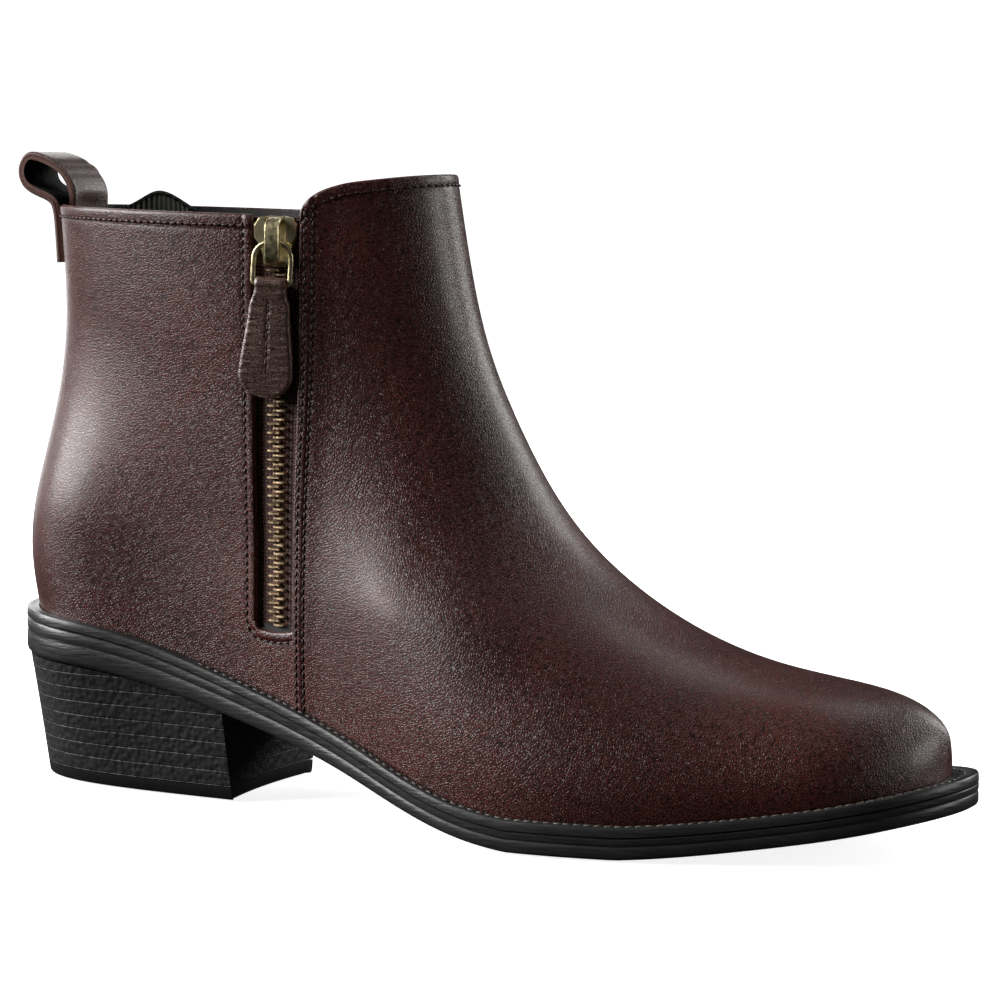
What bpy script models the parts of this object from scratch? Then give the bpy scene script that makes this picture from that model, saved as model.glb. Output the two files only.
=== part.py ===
"""A right-foot zip ankle boot with a low block heel, built as separate pieces at their real size.

The origin is the centre of the heel's tread on the floor. +Y runs to the toe, +X to the outer side, +Z up.
Stations along the boot are shares t of SOLE_LENGTH, from the rear of the sole (0) to the toe tip (1).
"""

import bisect
import math

import bmesh
import bpy
import numpy as np
from mathutils import Matrix, Vector

MM = 0.001

# Driving sizes of the boot
SOLE_LENGTH = 272 * MM
BALL_WIDTH = 92 * MM
HEEL_RISE = 36 * MM  # underside of the sole above the floor, at the rear
TOE_SPRING = 12 * MM  # underside of the sole above the floor, at the toe tip
SHAFT_HEIGHT = 112 * MM  # from the sole to the collar, at the back
SHAFT_WIDTH = 64 * MM  # across the collar
EDGE_HEIGHT = 8.3 * MM  # sole and welt together, at the ball
WELT_HEIGHT = 2.4 * MM
WELT_LEDGE = 4.0 * MM  # how far the welt stands out past the upper
REAR_RADIUS = 31 * MM  # roundness of the sole's outline at the heel
TOE_RADIUS = 19 * MM  # roundness of the sole's outline at the toe
TOE_SWING = 8 * MM  # how far the toe tip swings to the inner side
GAP = 0.3 * MM  # between pieces that touch

# Leather
WALL = 2.0 * MM
PANEL_STEP = 0.9 * MM  # the front panel lies over the quarter by this much

# Heel
LIFT_REAR = 4.0 * MM  # from the rear of the sole to the rear of the heel's tread
LIFT_LENGTH = 70 * MM
LIFT_WIDTH = 46 * MM
LIFT_HEIGHT = 3.6 * MM
LIFT_SQUARE = 4.7  # fullness of the rear corners of the tread
HEEL_INSET = 0.8 * MM  # the block stands in from the edge of the sole
LAYER_HEIGHT = 4.05 * MM  # one layer of the stack drawn on the heel
LAYER_GROOVE = 0.45 * MM
BREAST_STATION = 0.272  # station of the heel's front face

HEEL_CENTRE = LIFT_REAR + LIFT_LENGTH / 2

# Outline of the sole: station, half-widths to the outer and inner side as shares of BALL_WIDTH
OUTLINE = (
    # station, outer, inner
    (0.06, 0.310, 0.310),
    (0.14, 0.342, 0.337),
    (0.28, 0.338, 0.312),
    (0.42, 0.400, 0.310),
    (0.54, 0.488, 0.365),
    (0.65, 0.500, 0.450),
    (0.76, 0.440, 0.452),
    (0.86, 0.358, 0.385),
    (0.94, 0.268, 0.285),
)

# Underside of the sole: station, shares of HEEL_RISE and TOE_SPRING, edge height as a share of EDGE_HEIGHT
BOTTOM = (
    # station, heel, spring, edge
    (0.00, 1.000, 0.00, 1.50),
    (0.12, 0.955, 0.00, 1.44),
    (0.27, 0.717, 0.00, 1.25),
    (0.42, 0.400, 0.00, 1.08),
    (0.55, 0.080, 0.00, 1.00),
    (0.63, -0.01, 0.00, 1.00),
    (0.71, 0.000, -0.01, 1.00),
    (0.80, 0.000, 0.20, 0.98),
    (0.90, 0.000, 0.56, 0.98),
    (1.00, 0.000, 1.00, 1.02),
)

# Sections of the upper from the sole to the collar: where each meets the back and the front of the boot,
# as stations and as rises above the sole in shares of SHAFT_HEIGHT, and its half-width on the shaft
SECTIONS = (
    # name, back station, back rise, front station, front rise, shaft half-width
    ("feather edge", 0.014, 0.000, 0.970, 0.000, 0.94),
    ("toe wall", 0.007, 0.080, 0.976, 0.088, 0.94),
    ("toe top", 0.003, 0.160, 0.963, 0.160, 0.94),
    ("toe box", 0.005, 0.255, 0.908, 0.246, 0.94),
    ("ball", 0.014, 0.366, 0.797, 0.336, 0.94),
    ("vamp", 0.024, 0.478, 0.690, 0.460, 0.94),
    ("instep", 0.033, 0.594, 0.601, 0.636, 0.93),
    ("ankle", 0.038, 0.714, 0.541, 0.833, 0.93),
    ("shaft", 0.039, 0.839, 0.499, 1.044, 0.96),
    ("collar", 0.035, 1.015, 0.470, 1.367, 1.00),
)

# Shape of the foot's cross-sections: station, squareness of the shoulders, swell above the sole
SHOULDERS = (
    # station, squareness, swell
    (0.00, 2.4, 0.10),
    (0.30, 2.2, 0.16),
    (0.50, 1.8, 0.26),
    (0.68, 1.8, 0.30),
    (0.85, 2.0, 0.34),
    (1.00, 2.0, 0.30),
)

# Side seam, zip opening and collar line, in side view
SEAM_STATION = 0.359  # station of the front panel's rear edge
SLOT_WIDTH = 12.8 * MM
SLOT_RISE = 22.5 * MM  # the opening's lower end above the foot of the upper
COLLAR_DIP = 8.7 * MM  # the quarter's collar lies this far below the line from back to front
CORNER_RUN = 14 * MM  # the front panel rises to its full height over this length
CORNER_SQUARE = 2.2
COLLAR_CROWN = 1.2 * MM  # the front panel's edge dips by this much between its corner and the front


def spline(stations, values):
    """The curve through the given points that is smooth in its second derivative, as a function."""
    xs = np.array(stations, float)
    ys = np.array(values, float)
    steps = np.diff(xs)
    count = len(xs)
    system = np.zeros((count, count))
    right = np.zeros(count)
    system[0, 0] = system[-1, -1] = 1
    for i in range(1, count - 1):
        system[i, i - 1 : i + 2] = steps[i - 1], 2 * (steps[i - 1] + steps[i]), steps[i]
        right[i] = 6 * ((ys[i + 1] - ys[i]) / steps[i] - (ys[i] - ys[i - 1]) / steps[i - 1])
    bends = np.linalg.solve(system, right).tolist()
    xs, ys, steps = xs.tolist(), ys.tolist(), steps.tolist()

    def value(x):
        i = min(max(bisect.bisect_left(xs, x) - 1, 0), count - 2)
        ahead, behind, step = xs[i + 1] - x, x - xs[i], steps[i]
        curved = (bends[i] * ahead**3 + bends[i + 1] * behind**3) / (6 * step)
        low = (ys[i] / step - bends[i] * step / 6) * ahead
        high = (ys[i + 1] / step - bends[i + 1] * step / 6) * behind
        return curved + low + high

    return value


def column(table, index):
    """One column of a table, read as a smooth function of its first column."""
    return spline([row[0] for row in table], [row[index] for row in table])


def smooth_step(x):
    x = min(max(x, 0.0), 1.0)
    return x * x * (3 - 2 * x)


def y_at(t):
    return SOLE_LENGTH * t - HEEL_CENTRE


def station(y):
    return (y + HEEL_CENTRE) / SOLE_LENGTH


def ends(t):
    """1 in the middle of the boot and 0 at both ends, rounded as an ellipse is."""
    return math.sqrt(max(4 * t * (1 - t), 0.0))


def outline_side(index):
    """Half-width of the sole on one side, with the heel's and the toe's roundness at its ends."""
    rows = [(0.0, math.sqrt(REAR_RADIUS * SOLE_LENGTH / 2))]
    rows += [(row[0], row[index] * BALL_WIDTH / ends(row[0])) for row in OUTLINE]
    rows += [(1.0, math.sqrt(TOE_RADIUS * SOLE_LENGTH / 2))]
    fullness = column(rows, 1)
    return lambda t: fullness(t) * ends(t)


OUTER_HALF = outline_side(1)
INNER_HALF = outline_side(2)
HEEL_SHARE = column(BOTTOM, 1)
SPRING_SHARE = column(BOTTOM, 2)
EDGE_SHARE = column(BOTTOM, 3)


def centre_x(t):
    """The boot's own centre line, which swings inward from the waist to the toe."""
    return -TOE_SWING * min(max((t - 0.5) / 0.5, 0.0), 1.0) ** 2


def half_width(t, side):
    t = min(max(t, 0.0), 1.0)
    return OUTER_HALF(t) if side > 0 else INNER_HALF(t)


def underside(t):
    """Height of the sole's underside, flat on the floor under the ball."""
    t = min(max(t, 0.0), 1.0)
    return max(HEEL_SHARE(t) * HEEL_RISE + SPRING_SHARE(t) * TOE_SPRING, 0.0)


def welt_top(t):
    t = min(max(t, 0.0), 1.0)
    return underside(t) + EDGE_SHARE(t) * EDGE_HEIGHT


def sole_top(t):
    return welt_top(t) - WELT_HEIGHT - GAP


def upper_foot(t):
    """Height of the upper's lower edge, which stands on the sole."""
    return sole_top(t) + GAP


LEVELS = np.linspace(0, 1, len(SECTIONS))
BACK_Y = spline(LEVELS, [y_at(row[1]) for row in SECTIONS])
BACK_Z = spline(LEVELS, [upper_foot(row[1]) + row[2] * SHAFT_HEIGHT for row in SECTIONS])
FRONT_Y = spline(LEVELS, [y_at(row[3]) for row in SECTIONS])
FRONT_Z = spline(LEVELS, [upper_foot(row[3]) + row[4] * SHAFT_HEIGHT for row in SECTIONS])
SHAFT_HALF = spline(LEVELS, [row[5] * SHAFT_WIDTH / 2 for row in SECTIONS])
SQUARENESS = column(SHOULDERS, 1)
SWELL = column(SHOULDERS, 2)
FOOT_LEVEL = 0.35  # below this level the upper has the foot's form
SHAFT_LEVEL = 0.85  # above this level it has the shaft's
SETTLE_LEVEL = 0.55  # the sections straighten out up to this level
CREST_STEPS = 240
CREST = [(FRONT_Y(v), FRONT_Z(v)) for v in np.linspace(0, 1, CREST_STEPS)]
FURTHEST = max(range(CREST_STEPS), key=lambda i: CREST[i][0])
CREST_Y = [y for y, z in CREST[FURTHEST:]][::-1]
CREST_Z = [z for y, z in CREST[FURTHEST:]][::-1]
CREST_SLOPE = (CREST_Z[0] - CREST_Z[8]) / (CREST_Y[8] - CREST_Y[0])


def crest(y):
    """Height of the upper's ridge from the toe over the instep, carried on upwards behind the shaft's front."""
    if y < CREST_Y[0]:
        return CREST_Z[0] + (CREST_Y[0] - y) * CREST_SLOPE
    i = min(bisect.bisect_right(CREST_Y, y), len(CREST_Y) - 1)
    share = min((y - CREST_Y[i - 1]) / (CREST_Y[i] - CREST_Y[i - 1]), 1.0)
    return CREST_Z[i - 1] + (CREST_Z[i] - CREST_Z[i - 1]) * share


def collar_drop(y):
    """How far the collar lies below the straight line from its back to its front."""
    seam = y_at(SEAM_STATION)
    back, front = BACK_Y(1.0), FRONT_Y(1.0)
    if y <= seam:
        return COLLAR_DIP * max((y - back) / (seam - back), 0)
    run = min((y - seam) / CORNER_RUN, 1.0)
    rise = (1 - (1 - run) ** CORNER_SQUARE) ** (1 / CORNER_SQUARE)
    tail = 1 - smooth_step((y - seam) / (front - seam))
    return COLLAR_DIP * (1 - rise) + COLLAR_CROWN * rise * tail


def upper_point(s, v, side):
    """The outer face of the quarter leather: s runs from the back (0) to the front (1), v from sole to collar."""
    back_y, back_z, front_y, front_z = BACK_Y(v), BACK_Z(v), FRONT_Y(v), FRONT_Z(v)
    y = back_y + (front_y - back_y) * s
    z = back_z + (front_z - back_z) * s
    low_y = BACK_Y(0) + (FRONT_Y(0) - BACK_Y(0)) * s
    low_line = BACK_Z(0) + (FRONT_Z(0) - BACK_Z(0)) * s
    z += (upper_foot(station(low_y)) - low_line) * max(1 - v / SETTLE_LEVEL, 0.0) ** 1.5
    z -= collar_drop(y) * smooth_step((v - 0.7) / 0.3)
    t = station(y)
    floor = upper_foot(t)
    q = min(max((z - floor) / max(crest(y) - floor, 1e-6), 0.0), 1.0)
    u = min(max((y - back_y) / (FRONT_Y(LEVELS[1]) - back_y), 0.0), 1.0)
    plan = half_width(u, side) - WELT_LEDGE * ends(u) ** 0.6
    clipped = min(max(t, 0.0), 1.0)
    section = math.sqrt(max(1 - q ** SQUARENESS(clipped), 0.0)) * (1 + SWELL(clipped) * q * (1 - q))
    foot = max(plan, 0.0) * section
    shaft = SHAFT_HALF(v) * ends(s) * (1 + 0.05 * (1 - 2 * s))
    mix = smooth_step((v - FOOT_LEVEL) / (SHAFT_LEVEL - FOOT_LEVEL))
    x = foot * (1 - mix) + shaft * mix
    return Vector((side * x + centre_x(t), y, z))


HALVINGS = 18  # steps of each search on the upper's face
SLOPE_REACH = 1.5 * MM  # the face's slope is read over this length to each side


def upper_at(y, z, side):
    """The point of the outer face that is seen at (y, z) from the side."""
    low, high = 0.0, 1.0
    for _ in range(HALVINGS):
        v = (low + high) / 2
        s = min(max((y - BACK_Y(v)) / (FRONT_Y(v) - BACK_Y(v)), 0.0), 1.0)
        point = upper_point(s, v, side)
        low, high = (v, high) if point.z < z else (low, v)
    return point


def wall_point(y, z, side, depth=0.0):
    """The point seen at (y, z) from the side, at a depth below the upper's outer face, and the face's normal."""
    along = upper_at(y + SLOPE_REACH, z, side) - upper_at(y - SLOPE_REACH, z, side)
    up = upper_at(y, z + SLOPE_REACH, side) - upper_at(y, z - SLOPE_REACH, side)
    normal = along.cross(up).normalized() * side
    return upper_at(y, z, side) - normal * depth, normal


# Mesh helpers

RING = 64  # points of one ring round the sole


def ring_stations(count=RING):
    """Stations and sides of a ring of points that starts at the rear and runs along the outer side first."""
    angles = [2 * math.pi * i / count for i in range(count)]
    return [((1 - math.cos(a)) / 2, 1 if a <= math.pi else -1) for a in angles]


def body_through(rings, ends="strips"):
    """A closed body through rings of points: its ends are strips across or flat, or else joined to each other."""
    mesh = bmesh.new()
    rows = [[mesh.verts.new(point) for point in ring] for ring in rings]
    count = len(rings[0])
    pairs = list(zip(rows, rows[1:]))
    if ends == "joined":
        pairs.append((rows[-1], rows[0]))
    for low, high in pairs:
        for i in range(count):
            j = (i + 1) % count
            mesh.faces.new((low[i], low[j], high[j], high[i]))
    if ends == "flat":
        mesh.faces.new(rows[0])
        mesh.faces.new(rows[-1])
    if ends == "strips":
        for row in (rows[0], rows[-1]):
            mesh.faces.new((row[-1], row[0], row[1]))
            for i in range(1, count // 2 - 1):
                mesh.faces.new((row[i], row[i + 1], row[-i - 1], row[-i]))
            mesh.faces.new([row[count // 2 + k] for k in (-1, 0, 1)])
    bmesh.ops.recalc_face_normals(mesh, faces=mesh.faces)
    return mesh


def sheet_through(rows, closed=False):
    """An open surface through rows of points."""
    mesh = bmesh.new()
    grid = [[mesh.verts.new(point) for point in row] for row in rows]
    width = len(rows[0]) if closed else len(rows[0]) - 1
    for low, high in zip(grid, grid[1:]):
        for i in range(width):
            j = (i + 1) % len(low)
            mesh.faces.new((low[i], low[j], high[j], high[i]))
    return mesh


def prism(outline, depth):
    """A flat outline in the XY plane, raised by the depth along Z."""
    mesh = bmesh.new()
    face = mesh.faces.new([mesh.verts.new((x, y, 0)) for x, y in outline])
    raised = bmesh.ops.extrude_face_region(mesh, geom=[face])["geom"]
    corners = [item for item in raised if isinstance(item, bmesh.types.BMVert)]
    bmesh.ops.translate(mesh, verts=corners, vec=(0, 0, depth))
    bmesh.ops.recalc_face_normals(mesh, faces=mesh.faces)
    return mesh


def inset(ring, distance):
    """A ring of points moved inward in plan."""
    count = len(ring)
    moved = []
    for i, point in enumerate(ring):
        run = ring[(i + 1) % count] - ring[i - 1]
        moved.append(point + Vector((-run.y, run.x, 0)).normalized() * distance)
    return moved


def linear(shade):
    return shade / 12.92 if shade <= 0.04045 else ((shade + 0.055) / 1.055) ** 2.4


def finish(name, colour, roughness, metallic=0.0):
    """A plain Principled material from an sRGB colour."""
    material = bpy.data.materials.new(name)
    material.use_nodes = True
    shader = material.node_tree.nodes["Principled BSDF"]
    shader.inputs["Base Color"].default_value = [linear(c / 255) for c in colour] + [1]
    shader.inputs["Roughness"].default_value = roughness
    shader.inputs["Metallic"].default_value = metallic
    return material


def add_piece(name, mesh, material, group, place=None):
    """One named object of the boot from a bmesh or a curve."""
    if isinstance(mesh, bmesh.types.BMesh):
        data = bpy.data.meshes.new(name)
        mesh.to_mesh(data)
        mesh.free()
    else:
        data = mesh
    piece = bpy.data.objects.new(name, data)
    data.materials.append(material)
    group.objects.link(piece)
    if place is not None:
        piece.matrix_world = place
    return piece


def add_cutter(name, mesh, cutters, place=None):
    data = bpy.data.meshes.new(name)
    mesh.to_mesh(data)
    mesh.free()
    cutter = bpy.data.objects.new(name, data)
    cutter.hide_render = True
    cutter.display_type = "WIRE"
    cutters.objects.link(cutter)
    if place is not None:
        cutter.matrix_world = place
    return cutter


def combine(piece, other, operation):
    modifier = piece.modifiers.new(other.name, "BOOLEAN")
    modifier.operation = operation
    modifier.solver = "EXACT"
    modifier.object = other


def thicken(piece, thickness, offset=-1.0):
    modifier = piece.modifiers.new("wall", "SOLIDIFY")
    modifier.thickness = thickness
    modifier.offset = offset


def shade_round(piece, degrees=35):
    piece.data.shade_smooth()
    piece.data.set_sharp_from_angle(angle=math.radians(degrees))


# Columns of the upper

BACK_COLUMNS = 12  # along one side, from the back to the side seam
FRONT_COLUMNS = 14  # from the side seam to the front
ROWS = 23
LAP_EDGE = 0.6 * MM  # the front panel's rear edge rises over this length
LAP_WIDTH = 9 * MM  # and its lap fades out over this one
SHARE_STEP = 0.004  # step along and up the sections that gives the slope of a row


def lap(y):
    """How far the front panel stands over the quarter."""
    edge = y_at(SEAM_STATION) + LAP_EDGE
    return PANEL_STEP * (1 - smooth_step((y - edge) / LAP_WIDTH)) if y > edge - LAP_EDGE / 2 else 0.0


def upper_columns(v):
    """Shares and sides of one row's points round the boot, with two of them close together at each side seam."""
    back, length = BACK_Y(v), FRONT_Y(v) - BACK_Y(v)
    low = (y_at(SEAM_STATION) - back) / length
    high = (y_at(SEAM_STATION) + LAP_EDGE - back) / length
    behind = [low * (1 - math.cos(math.pi / 2 * i / BACK_COLUMNS)) for i in range(BACK_COLUMNS + 1)]
    ahead = [high + (1 - high) * math.sin(math.pi / 2 * i / FRONT_COLUMNS) for i in range(FRONT_COLUMNS + 1)]
    outer = [(s, 1) for s in behind + ahead]
    return outer + [(s, -1) for s, side in outer[-2:0:-1]]


def upper_row(v, lapped=True):
    """One row of points on the upper's outer face."""
    row = []
    for s, side in upper_columns(v):
        point = upper_point(s, v, side)
        height = lap(point.y) if lapped and s < 1 else 0.0
        if height:
            along = upper_point(min(s + SHARE_STEP, 1), v, side) - upper_point(s - SHARE_STEP, v, side)
            up = upper_point(s, min(v + SHARE_STEP, 1), side) - upper_point(s, max(v - SHARE_STEP, 0), side)
            point = point + along.cross(up).normalized() * side * height
        row.append(point)
    return row


# Sole

EDGE_ROUND = 0.8 * MM
WELT_LEVEL = 0.03  # this far up its sections the upper has risen past the welt


def sole_ring(height, setback=0.0, places=None):
    """A ring on the sole's outline, at a height given as a function of the station."""
    ring = [
        Vector((side * half_width(t, side) + centre_x(t), y_at(t), height(t)))
        for t, side in places or ring_stations()
    ]
    return inset(ring, setback) if setback else ring


def add_outsole(material, group):
    """The sole under the whole boot: it rises over the heel, arches at the waist and springs at the toe."""
    rings = [
        sole_ring(underside, EDGE_ROUND),
        sole_ring(lambda t: underside(t) + EDGE_ROUND),
        sole_ring(lambda t: sole_top(t) - EDGE_ROUND),
        sole_ring(sole_top, EDGE_ROUND),
    ]
    shade_round(add_piece("outsole", body_through(rings), material, group))


def add_welt(material, group):
    """The band that stands out round the foot of the upper, on the outsole."""
    places = upper_columns(0.0)
    rings = [
        sole_ring(upper_foot, 0.0, places),
        sole_ring(lambda t: welt_top(t) - EDGE_ROUND, 0.0, places),
        sole_ring(welt_top, EDGE_ROUND, places),
        inset(upper_row(WELT_LEVEL), -GAP),
        inset(upper_row(0.0), -GAP),
    ]
    for ring, height in ((rings[3], welt_top), (rings[4], upper_foot)):
        for point in ring:
            point.z = height(station(point.y))
    shade_round(add_piece("welt", body_through(rings, ends="joined"), material, group))


INSOLE_HEIGHT = 2.6 * MM


def add_insole(material, group):
    """The insole lies on the outsole inside the foot of the upper."""
    margin = WALL + 2 * GAP
    plan = inset(upper_row(0.0, lapped=False), margin)
    rings = []
    for lift in (GAP, GAP + INSOLE_HEIGHT):
        rings.append([Vector((p.x, p.y, sole_top(station(p.y)) + lift)) for p in plan])
    shade_round(add_piece("insole", body_through(rings), material, group))


# Heel

HEEL_SIDE = 13  # points along one side of the heel, from the rear to the breast
BREAST_POINTS = 3  # points across half of the breast
BREAST_HOLLOW = 1.6 * MM  # the breast curves in by this much


def heel_ring(z, setback=0.0, groove=0.0):
    """A level section of the heel: the sole's outline above, drawn in towards the lift below."""
    share = (z - LIFT_HEIGHT) / (HEEL_RISE - LIFT_HEIGHT)
    half = []
    for side in (1, -1):
        points = []
        for i in range(HEEL_SIDE):
            q = math.cos(math.pi / 2 * i / (HEEL_SIDE - 1))
            t = BREAST_STATION * (1 - q)
            top = (half_width(t, side) - HEEL_INSET * ends(t) ** 0.3, y_at(t) + HEEL_INSET * q)
            low = (LIFT_WIDTH / 2 * math.sqrt(1 - q**LIFT_SQUARE), LIFT_LENGTH * (0.5 - q))
            x = low[0] + (top[0] - low[0]) * share
            y = low[1] + (top[1] - low[1]) * share
            drawn = 1 - (setback + groove) / (LIFT_WIDTH / 2)
            points.append(Vector((side * x * drawn, y + (setback + groove) * q, z)))
        corner = points[-1]
        for k in range(1, BREAST_POINTS + 1):
            across = 1 - k / BREAST_POINTS
            hollow = BREAST_HOLLOW * (1 - across**2)
            points.append(Vector((corner.x * across, corner.y - setback - hollow, z)))
        half.append(points)
    outer, inner = half
    return outer + inner[-2:0:-1]


CUT_STEPS = 24  # steps of the curved cut over the heel


def add_heel(material, group, cutters):
    """The heel block, stacked in layers, and cut to the sole's underside above it."""
    rings = [heel_ring(LIFT_HEIGHT + GAP)]
    level = LIFT_HEIGHT + LAYER_HEIGHT
    while level < HEEL_RISE + LAYER_HEIGHT:
        rings.append(heel_ring(level - LAYER_GROOVE))
        rings.append(heel_ring(level, groove=LAYER_GROOVE))
        rings.append(heel_ring(level + LAYER_GROOVE))
        level += LAYER_HEIGHT
    heel = add_piece("heel", body_through(rings), material, group)
    shade_round(heel)
    margin = HEEL_INSET / SOLE_LENGTH + 0.05
    span = BREAST_STATION + 2 * margin
    stations = [-margin + span * i / CUT_STEPS for i in range(CUT_STEPS + 1)]
    reach = BALL_WIDTH
    rows = []
    for lift in (0, 2 * HEEL_RISE):
        for x in (-reach, reach):
            rows.append([Vector((x, y_at(t), underside(t) - GAP + lift)) for t in stations])
    mesh = bmesh.new()
    low_left, low_right, high_left, high_right = [[mesh.verts.new(p) for p in row] for row in rows]
    walls = ((low_left, low_right), (low_right, high_right), (high_right, high_left), (high_left, low_left))
    for first, second in walls:
        for i in range(len(stations) - 1):
            mesh.faces.new((first[i], first[i + 1], second[i + 1], second[i]))
    for end in (0, -1):
        mesh.faces.new((low_left[end], low_right[end], high_right[end], high_left[end]))
    bmesh.ops.recalc_face_normals(mesh, faces=mesh.faces)
    combine(heel, add_cutter("sole_over_heel", mesh, cutters), "DIFFERENCE")


def add_heel_lift(material, group):
    """The wearing layer under the heel, which touches the floor."""
    rings = [
        heel_ring(0.0, setback=EDGE_ROUND),
        heel_ring(EDGE_ROUND),
        heel_ring(LIFT_HEIGHT),
    ]
    shade_round(add_piece("heel_lift", body_through(rings), material, group))


# Upper

def add_upper(material, group, cutters):
    """The upper: one hollow wall from the sole to the collar, slotted for the zip on the outer side."""
    mesh = sheet_through([upper_row(i / ROWS) for i in range(ROWS + 1)], closed=True)
    bmesh.ops.recalc_face_normals(mesh, faces=mesh.faces)
    upper = add_piece("upper", mesh, material, group)
    shade_round(upper, 50)
    thicken(upper, WALL)
    size = (SHAFT_WIDTH, SLOT_WIDTH + LAP_EDGE, SHAFT_HEIGHT * 1.5)
    mesh = bmesh.new()
    bmesh.ops.create_cube(mesh, size=1.0)
    bmesh.ops.scale(mesh, verts=mesh.verts, vec=size)
    middle = ZIP_Y + LAP_EDGE / 2
    place = Matrix.Translation((size[0] / 2 + 3 * WALL, middle, SLOT_BOTTOM + size[2] / 2))
    combine(upper, add_cutter("zip_slot", mesh, cutters, place), "DIFFERENCE")


# Zip

ZIP_Y = y_at(SEAM_STATION) - SLOT_WIDTH / 2
SLOT_BOTTOM = upper_foot(SEAM_STATION) + SLOT_RISE
SEAT = WALL + 2 * GAP  # depth of the tape's face below the upper's outer face
TAPE_WIDTH = 26 * MM
TAPE_HEIGHT = 0.9 * MM
TAPE_BELOW = 6 * MM  # the tape runs on below the slot
TOOTH_PITCH = 2.35 * MM
TOOTH_HEIGHT = 2.0 * MM
CHAIN_WIDTH = 5.4 * MM
TOOTH_SLANT = 0.12 * MM
TOOTH_CROSS = 0.36  # share of half the chain by which a tooth reaches over its middle
SLIDER_DROP = 7 * MM  # from the collar down to the bail's bar in the slider
CROWN_WIDTH = 11.6 * MM
CROWN_TOP = 6.4 * MM  # the slider reaches this far above the bar
CROWN_BOTTOM = 6.2 * MM  # and this far below it
CROWN_HEIGHT = 3.2 * MM
BAIL_WIRE = 1.3 * MM
BAIL_WIDTH = 10.1 * MM
BAIL_LENGTH = 11.0 * MM
BRIDGE_LENGTH = 11.6 * MM
BRIDGE_WIDTH = 3.8 * MM
BRIDGE_HEIGHT = 1.2 * MM
BRIDGE_FOOT = 1.4 * MM  # length of each foot of the bridge
CORNER_RADIUS = 0.9 * MM  # of the bail's lower corners
TAB_LENGTH = 28 * MM
TAB_WIDTH = 14.6 * MM
TAB_HEIGHT = 2.4 * MM
TAB_EDGE = 0.5 * MM  # bevel along the edges
TAB_STRAIGHT = 0.78  # share of its length above the round end
ROLL_RADIUS = 1.9 * MM
TAB_SWING = 3.5  # degrees: the pull hangs a little towards the heel

# Width of the leather pull below the bail's lower bar
TAB_SHAPE = (
    # share of TAB_LENGTH, share of TAB_WIDTH
    (0.00, 0.71),
    (0.30, 0.78),
    (0.60, 0.93),
    (0.80, 1.00),
)

# The slider's body from its mouth to its top
CROWN_SHAPE = (
    # share of CROWN_WIDTH, of CROWN_BOTTOM below the bar, of CROWN_TOP above it
    (0.62, 1.00, 0.00),
    (0.62, 0.52, 0.00),
    (1.00, 0.00, 0.06),
    (1.00, 0.00, 0.72),
    (0.72, 0.00, 1.00),
)


def collar_z(y, side):
    """Height of the collar line at y."""
    return upper_point((y - BACK_Y(1)) / (FRONT_Y(1) - BACK_Y(1)), 1, side).z


SLIDER_Z = collar_z(ZIP_Y, 1) - SLIDER_DROP  # height of the bail's bar in the slider


def zip_frame():
    """Across the zip, up along it and out of the leather, at the bail's bar in the slider."""
    point, out = wall_point(ZIP_Y, SLIDER_Z, 1)
    across = Vector((0, 1, 0))
    across = (across - out * across.dot(out)).normalized()
    up = out.cross(across)
    frame = Matrix((across, up, out)).transposed().to_4x4()
    frame.translation = point
    return frame


def add_zip_tape(material, group):
    """The woven tape behind the slot, sewn inside both edges."""
    top = SLIDER_Z + CROWN_TOP
    bottom = SLOT_BOTTOM - TAPE_BELOW
    rows = []
    for i in range(13):
        z = bottom + (top - bottom) * i / 12
        line = [ZIP_Y + TAPE_WIDTH * (k / 6 - 0.5) for k in range(7)]
        rows.append([wall_point(y, z, 1, SEAT)[0] for y in line])
    tape = add_piece("zip_tape", sheet_through(rows), material, group)
    shade_round(tape)
    thicken(tape, TAPE_HEIGHT)


def add_zip_teeth(material, group):
    """Both rows of closed teeth as one chain, from the slot's lower end to the slider."""
    bottom = SLOT_BOTTOM + 3 * GAP
    top = SLIDER_Z - CROWN_BOTTOM - GAP
    steps = int((top - bottom) / (TOOTH_PITCH / 2))
    half, cross = CHAIN_WIDTH / 2, CHAIN_WIDTH / 2 * TOOTH_CROSS
    rings = []
    for i in range(steps):
        low = bottom + i * TOOTH_PITCH / 2
        reach = (-cross, half) if i % 2 == 0 else (-half, cross)
        for z in (low + TOOTH_SLANT, low + TOOTH_PITCH / 2 - TOOTH_SLANT):
            ring = []
            for depth, across in ((0, 1), (0, 0), (1, 0), (1, 1)):
                face = SEAT - GAP if depth == 0 else SEAT - GAP - TOOTH_HEIGHT
                ring.append(wall_point(ZIP_Y + reach[across], z, 1, face)[0])
            rings.append(ring)
    add_piece("zip_teeth", body_through(rings, ends="flat"), material, group)


def curve_mesh(points, radius, closed, sides=2):
    """A round wire through the points, as a mesh with welded ends."""
    data = bpy.data.curves.new("wire", "CURVE")
    data.dimensions = "3D"
    data.bevel_depth = radius
    data.bevel_resolution = sides
    data.use_fill_caps = True
    line = data.splines.new("POLY")
    line.points.add(len(points) - 1)
    for place, point in zip(line.points, points):
        place.co = (*point, 1)
    line.use_cyclic_u = closed
    holder = bpy.data.objects.new("wire", data)
    bpy.context.scene.collection.objects.link(holder)
    bpy.context.view_layer.update()
    solid = bpy.data.meshes.new_from_object(holder.evaluated_get(bpy.context.evaluated_depsgraph_get()))
    bpy.data.objects.remove(holder, do_unlink=True)
    mesh = bmesh.new()
    mesh.from_mesh(solid)
    bpy.data.meshes.remove(solid)
    bmesh.ops.remove_doubles(mesh, verts=mesh.verts, dist=0.00001)
    bmesh.ops.recalc_face_normals(mesh, faces=mesh.faces)
    return mesh


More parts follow.
